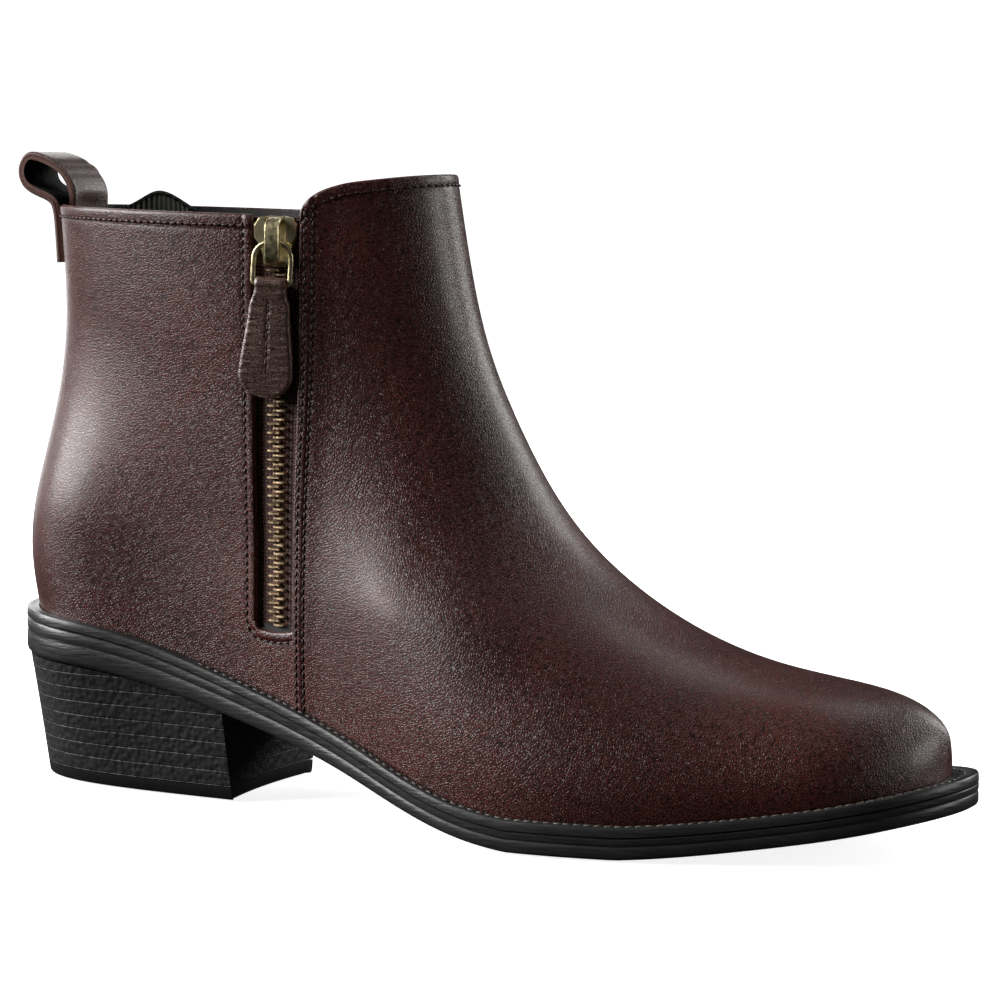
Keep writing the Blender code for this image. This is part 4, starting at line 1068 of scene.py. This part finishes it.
def antique_brass(name, light, dark, roughness):
    """Plated brass darkened in its hollows and rubbed bright on its edges."""
    made, tree, shader, place = start_material(name, Metallic=1.0, Roughness=roughness)
    worn = add(tree, "ShaderNodeTexNoise", {"Vector": place, "Scale": 700, "Detail": 3})
    corners = add(tree, "ShaderNodeNewGeometry").outputs["Pointiness"]
    rubbed = add(tree, "ShaderNodeMath", {0: worn.outputs["Fac"], 1: corners}, operation="ADD")
    tint(tree, shader, rubbed.outputs[0], (0.7, dark), (1.1, light))
    rough = add(tree, "ShaderNodeMapRange", {"Value": worn.outputs["Fac"], "To Min": roughness - 0.08,
                                             "To Max": roughness + 0.14})
    tree.links.new(rough.outputs[0], shader.inputs["Roughness"])
    link_bump(tree, shader, worn.outputs["Fac"], 0.015 * MM)
    return made


tooth_brass = antique_brass("antique_brass_teeth", "#e2c8a4", "#7d684e", 0.40)
corners = [(1, -0.6), (1, 0.6), (0.6, 1), (-0.6, 1), (-1, 0.6), (-1, -0.6), (-0.6, -1), (0.6, -1)]
rows = [[(x * MM, up * high * MM, out * deep * MM) for out, up in corners] for x, high, deep in TOOTH]
tooth = bpy.data.objects.new("tooth", grid_mesh("tooth", rows, closed=True, capped=True))
bpy.context.scene.collection.objects.link(tooth)


def tooth_tree():
    """Sets teeth from alternate sides along a line."""
    tree, given, tangent, out = start_tree(
        "teeth_along_a_tape", ("Spacing", "Float"), ("Tooth", "Object"), ("Metal", "Material"),
    )
    across = add(tree, "ShaderNodeVectorMath", {0: tangent, 1: out}, operation="CROSS_PRODUCT")
    index = add(tree, "GeometryNodeInputIndex")
    odd = add(tree, "ShaderNodeMath", {0: index.outputs[0], 1: 2.0}, operation="MODULO")
    way = add(tree, "ShaderNodeMath", {0: odd.outputs[0], 1: -2.0, 2: 1.0}, operation="MULTIPLY_ADD")
    facing = add(tree, "ShaderNodeVectorMath", {0: across.outputs[0], "Scale": way.outputs[0]},
                 operation="SCALE")
    one = add(tree, "GeometryNodeObjectInfo", {"Object": given["Tooth"]})
    shape = {"Instance": one.outputs["Geometry"]}
    return set_along(tree, given, "Spacing", facing.outputs[0], out, shape, "Metal")


CHAIN_RAISED = 1.25 * MM  # the middle of the teeth over the tape's seat
chain_z = np.linspace(WINDOW_Z + 1 * MM, SLIDER_Z - CROWN_BOTTOM, 120)
chain = on_skin(np.full(len(chain_z), ZIP_Y), chain_z, 1, np.full(len(chain_z), CHAIN_RAISED - SEAT))
mesh = grown("zip_teeth_brass", lines_mesh("chain", [chain]), tooth_tree(), Spacing=TOOTH_PITCH / 2,
             Tooth=tooth, Metal=tooth_brass)
bpy.data.objects.remove(tooth, do_unlink=True)
teeth = add_piece("zip_teeth_brass", mesh, sharp=50)
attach(teeth, "root")
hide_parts("zip_teeth")

# Zip slider
# A cast crown of antique brass with bevelled plates to left and right, and a flat bridge over them that
# holds the bail.

origin, out = on_skin(np.array(ZIP_Y), np.array(SLIDER_Z))
across = np.array([0, 1, 0]) - out * out[1]
across = across / np.linalg.norm(across)
upward = np.cross(out, across)
zip_axes = np.stack([across, upward, out])


def on_zip(local):
    """Points given across, along and out of the zip from the bail's bar, in their real place."""
    return np.asarray(local, float) @ zip_axes + origin


def slab(outline, low, high, bevel):
    """Rows of points for a flat body with bevelled edges, from its outline in the zip's plane."""
    outline = np.array(outline, float)
    middle = outline.mean(0)
    reach = np.linalg.norm(outline - middle, axis=1)[:, None]
    drawn = middle + (outline - middle) * (1 - bevel / reach)
    made = []
    for shape, height in ((drawn, low), (outline, low + bevel), (outline, high - bevel), (drawn, high)):
        made.append(on_zip(np.column_stack([shape, np.full(len(shape), height)])))
    return made


def join(name, parts, material, sharp=40):
    """Several closed bodies as one piece."""
    points, faces, first = [], [], 0
    for mesh in parts:
        points += [tuple(v.co) for v in mesh.vertices]
        faces += [[first + i for i in face.vertices] for face in mesh.polygons]
        first += len(mesh.vertices)
        bpy.data.meshes.remove(mesh)
    whole = bpy.data.meshes.new(name)
    whole.from_pydata(points, [], faces)
    return add_piece(name, whole, material, sharp=sharp)


CROWN_HEIGHT = 3.2 * MM
BAIL_WIRE = 1.3 * MM
BODY_BEVEL, BODY_BELOW = 0.3 * MM, 1.0 * MM
PLATE_BEVEL, PLATE_HEIGHT = 0.55 * MM, 1.6 * MM
crown_top = CROWN_HEIGHT - SEAT
bar_out = crown_top + 2 * GAP + BAIL_WIRE / 2
slider_brass = antique_brass("antique_brass_casting", "#dccfa6", "#8f8160", 0.34)
body = [(3.4, -6.1), (3.7, -3.2), (4.6, -1.2), (5.6, 0.9), (5.7, 4.4), (4.3, 6.2), (2.4, 6.7)]
body = [(x * MM, y * MM) for x, y in body]
body += [(-x, y) for x, y in body[::-1]]
plate = [(2.6, -0.2), (4.4, -0.9), (5.8, 1.1), (5.9, 4.5), (4.4, 6.4), (2.6, 6.6)]
rows = slab(body, GAP - SEAT, crown_top - BODY_BELOW, BODY_BEVEL)
parts = [grid_mesh("body", rows, closed=True, capped=True)]
for sign in (1, -1):
    outline = [(sign * x * MM, y * MM) for x, y in plate][::sign]
    rows = slab(outline, crown_top - PLATE_HEIGHT, crown_top, PLATE_BEVEL)
    parts.append(grid_mesh("plate", rows, closed=True, capped=True))
BRIDGE = (
    # place along the bridge, height over the crown's top, both in mm
    (6.4, -0.9),
    (6.2, 0.8),
    (5.2, 2.75),
    (3.7, 3.35),
    (-3.7, 3.35),
    (-5.2, 2.55),
    (-6.0, 0.8),
    (-6.0, -1.6),
)
path = np.array(BRIDGE) * MM
path[:, 1] += crown_top
run = np.gradient(path, axis=0)
away = np.stack([run[:, 1], -run[:, 0]], 1) / np.linalg.norm(run, axis=1)[:, None]
half, thick, round_off = 1.95 * MM, 1.1 * MM, 0.3 * MM  # of the bridge
section = [(-half, round_off), (-half + round_off, 0), (half - round_off, 0), (half, round_off),
           (half, thick), (-half, thick)]
rows = []
for place_at, outward in zip(path, away):
    ring = [(x, *(place_at - outward * depth)) for x, depth in section]
    rows.append(on_zip(ring))
parts.append(grid_mesh("bridge", rows, closed=True, capped=True))
slider = join("zip_slider_casting", parts, slider_brass, 30)
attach(slider, "root")
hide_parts("zip_slider")

# Bail
# A bent flat wire of the same brass that passes under the bridge and carries the leather pull. It hangs a
# little askew, as the pull does.

TAB_SWING = math.radians(3.5)
BAIL_WIDTH, BAIL_LENGTH, BAIL_CORNER = 10.1 * MM, 11 * MM, 0.9 * MM
turn_axes = np.array([
    [math.cos(TAB_SWING), -math.sin(TAB_SWING), 0], [math.sin(TAB_SWING), math.cos(TAB_SWING), 0], [0, 0, 1],
])
pull_axes = turn_axes @ zip_axes
pull_origin = origin + out * bar_out


def on_pull(local):
    """Points given across, along and out of the pull from its hinge, in their real place."""
    return np.asarray(local, float) @ pull_axes + pull_origin


half = BAIL_WIDTH / 2
wire = [(half * np.cos(a), half * 0.86 * (np.sin(a) - 1)) for a in np.linspace(0, np.pi, 33)]
left = []
for a in np.linspace(0, np.pi / 2, 7):
    left.append((-(half - BAIL_CORNER * (1 - np.cos(a))), -BAIL_LENGTH + BAIL_CORNER * (1 - np.sin(a))))
wire = np.array(wire + left + [(-x, y) for x, y in left[::-1]])
run = np.roll(wire, -1, 0) - np.roll(wire, 1, 0)
sideways = np.stack([run[:, 1], -run[:, 0]], 1) / np.linalg.norm(run, axis=1)[:, None]
ring = np.linspace(0, 2 * np.pi, 14, endpoint=False)
broad = np.sign(np.cos(ring)) * np.abs(np.cos(ring)) ** 0.7 * BAIL_WIRE / 2
deep = np.sign(np.sin(ring)) * np.abs(np.sin(ring)) ** 0.7 * BAIL_WIRE * 0.42
rows = []
for spot, turned in zip(wire, sideways):
    rows.append(on_pull([(*(spot + turned * b), d) for b, d in zip(broad, deep)]))
rows.append(rows[0])
mesh = grid_mesh("bail", rows, closed=True)
bail = add_piece("zip_bail_wire", mesh, slider_brass, sharp=60)
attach(bail, "pull_tab")
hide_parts("zip_bail")

# Leather pull
# A tongue of the upper's leather folded over the bail, glued and sewn down its middle. It is creased all over
# from handling, and its cut edge shows brown along the side.

TAB_LENGTH, TAB_WIDTH, TAB_HEIGHT = 28 * MM, 14.6 * MM, 2.4 * MM
ROLL_RADIUS = 1.9 * MM
TAB_SHAPE = ((0.00, 0.71), (0.30, 0.78), (0.60, 0.93), (0.80, 1.00))  # shares of its length and width
TAB_STRAIGHT = 0.78  # share of the length above its rounded end
TAB_SETTLES = 0.16  # share of the length over which the fold round the bail flattens
TAB_SEAM_END = -23.5 * MM
TAB_EDGE, TAB_EDGE_FALL = 0.9 * MM, 0.45 * MM
FURROW_EASE = 1.5 * MM
tab_half = spline([row[0] for row in TAB_SHAPE], [row[1] * TAB_WIDTH / 2 for row in TAB_SHAPE])
tab_start = ROLL_RADIUS * math.cos(math.pi * 0.68) - 2 * GAP
roll_half = BAIL_WIDTH / 2 - BAIL_WIRE / 2 - 0.3 * MM
stations = []
for a in np.linspace(0.02, 0.68, 14) * np.pi:
    stations.append((ROLL_RADIUS * np.cos(a), roll_half, max(ROLL_RADIUS * np.sin(a), 0.35 * MM)))
for share in np.linspace(0, TAB_STRAIGHT, 60):
    settle = smooth_step(share / TAB_SETTLES)
    broad_half = float(tab_half(share)) * settle + roll_half * (1 - settle)
    stations.append((tab_start - share * TAB_LENGTH, broad_half, TAB_HEIGHT / 2 + 0.5 * MM * (1 - settle)))
for a in np.linspace(0, np.pi / 2, 16)[1:]:
    share = TAB_STRAIGHT + (1 - TAB_STRAIGHT) * np.sin(a)
    broad_half = float(tab_half(0.8)) * np.cos(a) ** 0.9
    stations.append((tab_start - share * TAB_LENGTH, broad_half, TAB_HEIGHT / 2))
xs = np.sin(np.linspace(-np.pi / 2, np.pi / 2, 41))
faces_front, faces_back = [], []
for y, across_half, high in stations:
    across_half = max(across_half, 0.05 * MM)
    x = xs * across_half
    edge_fall = TAB_EDGE_FALL * np.clip(1 - (across_half - np.abs(x)) / TAB_EDGE, 0, 1) ** 2
    in_seam = smooth_step((tab_start - y) / FURROW_EASE - 1) * smooth_step((y - TAB_SEAM_END) / FURROW_EASE)
    seam_x = 0.6 * MM * np.sin((y + 0.004) * 300) * 0.3
    furrow = 0.3 * MM * in_seam * np.exp(-(((x - seam_x) / (0.35 * MM)) ** 2))
    wave = 0.07 * MM * np.sin(y * 3100 + 2.2 * np.sin(x * 420) + 1.3 * np.sin(y * 700))
    wave = wave * smooth_step((tab_start - y) / (3 * MM)) * np.clip((across_half - np.abs(x)) / MM, 0, 1)
    faces_front.append([(a, y - BAIL_LENGTH, h) for a, h in zip(x, high - edge_fall - furrow + wave)])
    faces_back.append([(a, y - BAIL_LENGTH, h) for a, h in zip(x, -high + edge_fall)])
front = np.array([on_pull(row) for row in faces_front])[::-1]
back = np.array([on_pull(row) for row in faces_back])[::-1]
# The same calf worn by handling: glossier and full of small wrinkles. Its lighter, greyer colours are painted
# sheen.
pull_leather = leather("creased_pull_leather_sheen_painted", "#84685f", "#6f544c", "#513a34", 0.32, relief=0.03, coat=0.5)
tree = pull_leather.node_tree
shader = tree.nodes["Principled BSDF"]
place = next(n for n in tree.nodes if n.type == "TEX_COORD").outputs["Object"]
drawn = add(tree, "ShaderNodeMapping", {"Vector": place, "Scale": (1, 0.3, 2.0)})
wrinkles = add(tree, "ShaderNodeTexNoise",
               {"Vector": drawn.outputs[0], "Scale": 620, "Detail": 4, "Distortion": 0.6})
under = shader.inputs["Normal"].links[0].from_socket
link_bump(tree, shader, wrinkles.outputs["Fac"], 0.4 * MM, 0.8, under)
tab = add_piece("pull_tab_leather", panel_mesh("tab", front, back), pull_leather, raw_edge, sharp=60)
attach(tab, "pull_tab")
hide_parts("zip_pull")
line_y = np.linspace(tab_start - 2.4 * MM, TAB_SEAM_END + 0.7 * MM, 40)
points = on_pull([(0, y - BAIL_LENGTH, TAB_HEIGHT / 2 - 0.12 * MM) for y in line_y])
tab_thread = thread_material("rust_brown_thread", "#6b3f2c", "#341c14")
tab_stitches = sew("pull_tab_stitches", [(points, np.tile(out, (len(points), 1)))], 2.3, 2.0, 0.5, tab_thread)
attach(tab_stitches, "pull_tab")

# Pull loop
# A strap at the back of the collar: leather outside, its grey a painted sheen, black ribbed webbing inside,
# folded over and sewn to both faces of the upper.

LOOP_WIDTH, LOOP_HEIGHT = 17 * MM, 2.2 * MM
LOOP_REACH, LOOP_RISE, LOOP_TAIL, LOOP_STRAIGHTENS = 12 * MM, 13.4 * MM, 16 * MM, 4 * MM
LOOP_ROWS, LOOP_COLUMNS = 150, 31
LOOP_CRUMPLES = ((9.1, 0.16, 0.25), (9.9, 0.20, 0.20))  # place along LOOP_PATH, width there, depth in mm
LOOP_PATH = (
    # place, way from the outer to the inner face, share of LOOP_REACH, of LOOP_RISE, of LOOP_TAIL
    ("outer tail", 0.00, 0.00, 0.00, 1.00),
    ("outer side", 0.00, 0.00, 0.00, 0.50),
    ("collar edge", 0.00, 0.02, 0.00, 0.12),
    ("fold", 0.00, 0.16, 0.10, 0.00),
    ("lower leg", 0.00, 0.53, 0.24, 0.00),
    ("rear turn", 0.00, 0.89, 0.42, 0.00),
    ("rear", 0.00, 1.00, 0.70, 0.00),
    ("top turn", 0.00, 0.90, 0.92, 0.00),
    ("top", 0.00, 0.64, 1.00, 0.00),
    ("upper leg", 0.12, 0.12, 0.82, 0.00),
    ("slope", 0.60, 0.00, 0.56, 0.00),
    ("inner fold", 0.98, 0.00, 0.24, 0.00),
    ("inner side", 1.00, 0.00, 0.00, 0.15),
    ("inner tail", 1.00, 0.00, 0.00, 0.80),
)


def back_at(x, z):
    """How far back the outer face lies at a distance from the centre line, at a height."""
    fine = np.linspace(0, 1, 400)
    level = np.interp(z, back_z(fine), fine) + 0 * x
    low, high = np.zeros(np.shape(x)), np.full(np.shape(x), np.pi / 2)
    for _ in range(HALVINGS):
        middle = (low + high) / 2
        short = skin(middle, level)[..., 0] < np.abs(x)
        low, high = np.where(short, middle, low), np.where(short, high, middle)
    return skin(middle, level)[..., 1]


places = range(len(LOOP_PATH))
inward, reach, rise, tail = [spline(places, [row[k] for row in LOOP_PATH]) for k in (1, 2, 3, 4)]
along = np.linspace(0, len(LOOP_PATH) - 1, LOOP_ROWS)[:, None]
x = LOOP_WIDTH * (np.linspace(0, 1, LOOP_COLUMNS) - 0.5)[None, :]
above = rise(along) * LOOP_RISE
collar_back = float(back_z(1.0))
z = collar_back + above - tail(along) * LOOP_TAIL + 0 * x
level_z = np.minimum(z, collar_back - 1 * MM)
x = x + 0 * z
tiny = LOOP_WIDTH / 12
slant = np.sqrt(1 + ((back_at(x + tiny, level_z) - back_at(x - tiny, level_z)) / (2 * tiny)) ** 2)
seat = GAP + LOOP_HEIGHT / 2
depth = inward(along) * (2 * MM + 2 * seat) - seat
straight = smooth_step(above / LOOP_STRAIGHTENS)
wall = back_at(x, level_z) * (1 - straight) + back_at(np.full(x.shape, LOOP_WIDTH / 2), level_z) * straight
middle = np.stack([x, wall + depth * slant - reach(along) * LOOP_REACH, z], -1)
forward = np.gradient(middle, axis=0)
rightward = np.gradient(middle, axis=1)
outward = np.cross(rightward, forward)
outward = outward / np.linalg.norm(outward, axis=-1)[..., None]
if outward[LOOP_ROWS * 4 // 15, LOOP_COLUMNS // 2, 1] > 0:  # the lower leg's outer face looks back and down
    outward = -outward
edge_fall = 0.5 * MM * np.clip(1 - (LOOP_WIDTH / 2 - np.abs(x)) / (0.7 * MM), 0, 1) ** 2
crumple = sum(deep * MM * np.exp(-(((along - spot) / wide) ** 2)) for spot, wide, deep in LOOP_CRUMPLES)
half = LOOP_HEIGHT / 2
# The same calf, a little drier, in lighter greyed colours that are painted sheen.
strap_leather = leather("strap_leather_sheen_painted", "#7a6660", "#68544e", "#54433e", 0.42)
outer_face = middle + outward * (half - edge_fall - crumple)[..., None]
mesh = panel_mesh("strap", outer_face[:, ::-1], middle[:, ::-1] + outward[:, ::-1] * 0.1 * MM)
strap = add_piece("pull_loop_leather", mesh, strap_leather, raw_edge, sharp=60)
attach(strap, "root")
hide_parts("pull_loop")

# Woven webbing: black and matt, with ribs 1 mm apart.
webbing, tree, shader, place = start_material("black_ribbed_webbing", Roughness=0.9)
rib = add(tree, "ShaderNodeTexWave", {"Vector": place, "Scale": 330, "Distortion": 1.2}, bands_direction="X")
tint(tree, shader, rib.outputs["Fac"], (0.1, "#0d0d0c"), (0.9, "#2c2b28"))
link_bump(tree, shader, rib.outputs["Fac"], 0.4 * MM)
mesh = panel_mesh("webbing", middle[:, ::-1] - outward[:, ::-1] * 0.05 * MM,
                  middle[:, ::-1] - outward[:, ::-1] * half)
web = add_piece("pull_loop_webbing", mesh, webbing, raw_edge, sharp=60)
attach(web, "root")
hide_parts("pull_loop")

# Gusset
# A piece of grey ribbed elastic, sewn in behind the inner collar. Its edge is bound in black and stands a
# little above the leather.

GUSSET_START, GUSSET_END, GUSSET_PEAK = 0.056, 0.126, 0.090
GUSSET_RISE, GUSSET_DEPTH, GUSSET_THICK = 4.6 * MM, 24 * MM, 1.2 * MM
GUSSET_INSET = 2.6 * MM
t = np.linspace(GUSSET_START, GUSSET_END, 61)
y = y_at(t)
bulge = smooth_step((t - GUSSET_START) / (GUSSET_PEAK - GUSSET_START))
fall = smooth_step((GUSSET_END - t) / (GUSSET_END - GUSSET_PEAK)) ** 0.7
collar = skin(angle_at(y, 1.0, -1), 1.0)[:, 2]
top = collar + GUSSET_RISE * bulge * fall - 1 * MM
share = np.linspace(0, 1, 40)[:, None]
z = top - GUSSET_DEPTH * (1 - share)
y = y + 0 * z
points, normals = on_skin(y, np.minimum(z, collar - 2 * MM), -1, np.full(z.shape, -GUSSET_INSET))
points[..., 2] = z
# Woven elastic: grey and matt, with ribs 1.2 mm apart.
elastic, tree, shader, place = start_material("grey_ribbed_elastic", Roughness=0.9)
rib = add(tree, "ShaderNodeTexWave", {"Vector": place, "Scale": 260, "Distortion": 0.8}, bands_direction="Y")
tint(tree, shader, rib.outputs["Fac"], (0.1, "#34342f"), (0.9, "#77766e"))
link_bump(tree, shader, rib.outputs["Fac"], 0.4 * MM)
mesh = panel_mesh("gusset", points[:, ::-1], points[:, ::-1] - normals[:, ::-1] * GUSSET_THICK)
gusset = add_piece("collar_gusset_elastic", mesh, elastic, elastic)
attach(gusset, "root")
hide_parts("collar_gusset")
middle = points[-1] - normals[-1] * GUSSET_THICK / 2
ring = np.linspace(0, 2 * np.pi, 10, endpoint=False)
round_edge = [(np.cos(a) * 0.95 * MM, np.array([0, 0, (np.sin(a) * 0.8 - 0.2) * MM])) for a in ring]
rows = [[spot + way * aside + up for aside, up in round_edge] for spot, way in zip(middle, normals[-1])]
binding = add_piece("gusset_binding", grid_mesh("binding", rows, closed=True, capped=True), webbing)
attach(binding, "root")

# Stage
# A white studio: a lit floor with soft contact shadows, a plain white dome round it, and soft boxes to the
# left, rear and right, by the toe and above. Floor and dome are hidden from reflections, so the leather stays
# dark outside the boxes.

WHITE = srgb("#ffffff")
FLOOR_GLOW, DOME_GLOW, AIR_GLOW = 0.86, 1.1, 0.02
FLOOR_RINGS = (0.001, 0.4, 1.3)
FLOOR_DROP = 0.5 * MM
DOME_RADIUS = 6.0
BOX_AIM = Vector((0, 0.1, 0.08))


def circle(radius, height, count=64):
    """Points round the upright axis."""
    turn = 2 * np.pi * np.arange(count) / count
    return [(radius * math.cos(a), radius * math.sin(a), height) for a in turn]


# Both white surfaces give off their own even light, so no shade falls on them but the boot's.
white_floor = start_material(
    "lit_white_floor", Roughness=1.0, Base_Color=srgb("#f0f0f0"), Specular_IOR_Level=0.0,
    Emission_Color=WHITE, Emission_Strength=FLOOR_GLOW,
)[0]
rows = [circle(radius, -FLOOR_DROP) for radius in FLOOR_RINGS[::-1]]
floor = add_piece("studio_floor", grid_mesh("floor", rows, closed=True), white_floor)
white_dome = start_material(
    "lit_white_dome", Roughness=1.0, Emission_Color=WHITE, Emission_Strength=DOME_GLOW,
)[0]
rows = []
for climb in np.linspace(-1.55, 1.55, 21):
    rows.append(circle(DOME_RADIUS * math.cos(climb), DOME_RADIUS * math.sin(climb)))
dome = add_piece("studio_dome", grid_mesh("dome", rows, closed=True, capped=True), white_dome)
for stage_piece in (floor, dome):
    stage_piece.visible_glossy = False
    stage_piece.visible_diffuse = False
dome.visible_shadow = False

world = bpy.data.worlds.new("studio")
world.use_nodes = True
background = world.node_tree.nodes["Background"]
background.inputs["Color"].default_value = WHITE
background.inputs["Strength"].default_value = AIR_GLOW
bpy.context.scene.world = world

SOFT_BOXES = (
    # name, way round from +X and way up in degrees, distance, width, height, power in watts
    ("left_box", -66, 24, 2.2, 1.9, 1.2, 106),
    ("rear_box", -135, 14, 2.2, 1.2, 1.5, 16),
    ("right_box", 141, 26, 2.2, 1.0, 1.3, 30),
    ("toe_box", 100, 11, 2.2, 0.8, 0.7, 12),
    ("top_box", 150, 72, 2.0, 0.8, 0.6, 5),
)
for name, round_about, up, distance, wide, high, power in SOFT_BOXES:
    turned, raised = math.radians(round_about), math.radians(up)
    level_part = math.cos(raised)
    way = Vector((level_part * math.cos(turned), level_part * math.sin(turned), math.sin(raised)))
    lamp = bpy.data.lights.new(name, "AREA")
    lamp.shape = "RECTANGLE"
    lamp.size, lamp.size_y = wide, high
    lamp.energy = power
    holder = bpy.data.objects.new(name, lamp)
    holder.location = way * distance + BOX_AIM
    holder.rotation_euler = (-way).to_track_quat("-Z", "Y").to_euler()
    bpy.context.scene.collection.objects.link(holder)

# Camera
# The photograph's own view: a long lens a little above the boot, from its outer front side. Its place, turn
# and lens were fitted to the boot's outline.

YAW, DIP, ROLL = math.radians(25.45), math.radians(6.198), math.radians(-0.497)
SPOT = (0.73193, 0.45135, 0.17139)
FOCAL_LENGTH, FILM_WIDTH = 111.01, 36  # in mm
lens = bpy.data.cameras.new("photo_view")
lens.lens = FOCAL_LENGTH
lens.sensor_width = FILM_WIDTH
lens.clip_end = 20
camera = bpy.data.objects.new("photo_view", lens)
bpy.context.scene.collection.objects.link(camera)
camera.location = SPOT
camera.rotation_euler = (math.pi / 2 - DIP, ROLL, math.pi / 2 + YAW)
bpy.context.scene.camera = camera
bpy.context.scene.view_settings.view_transform = "Standard"
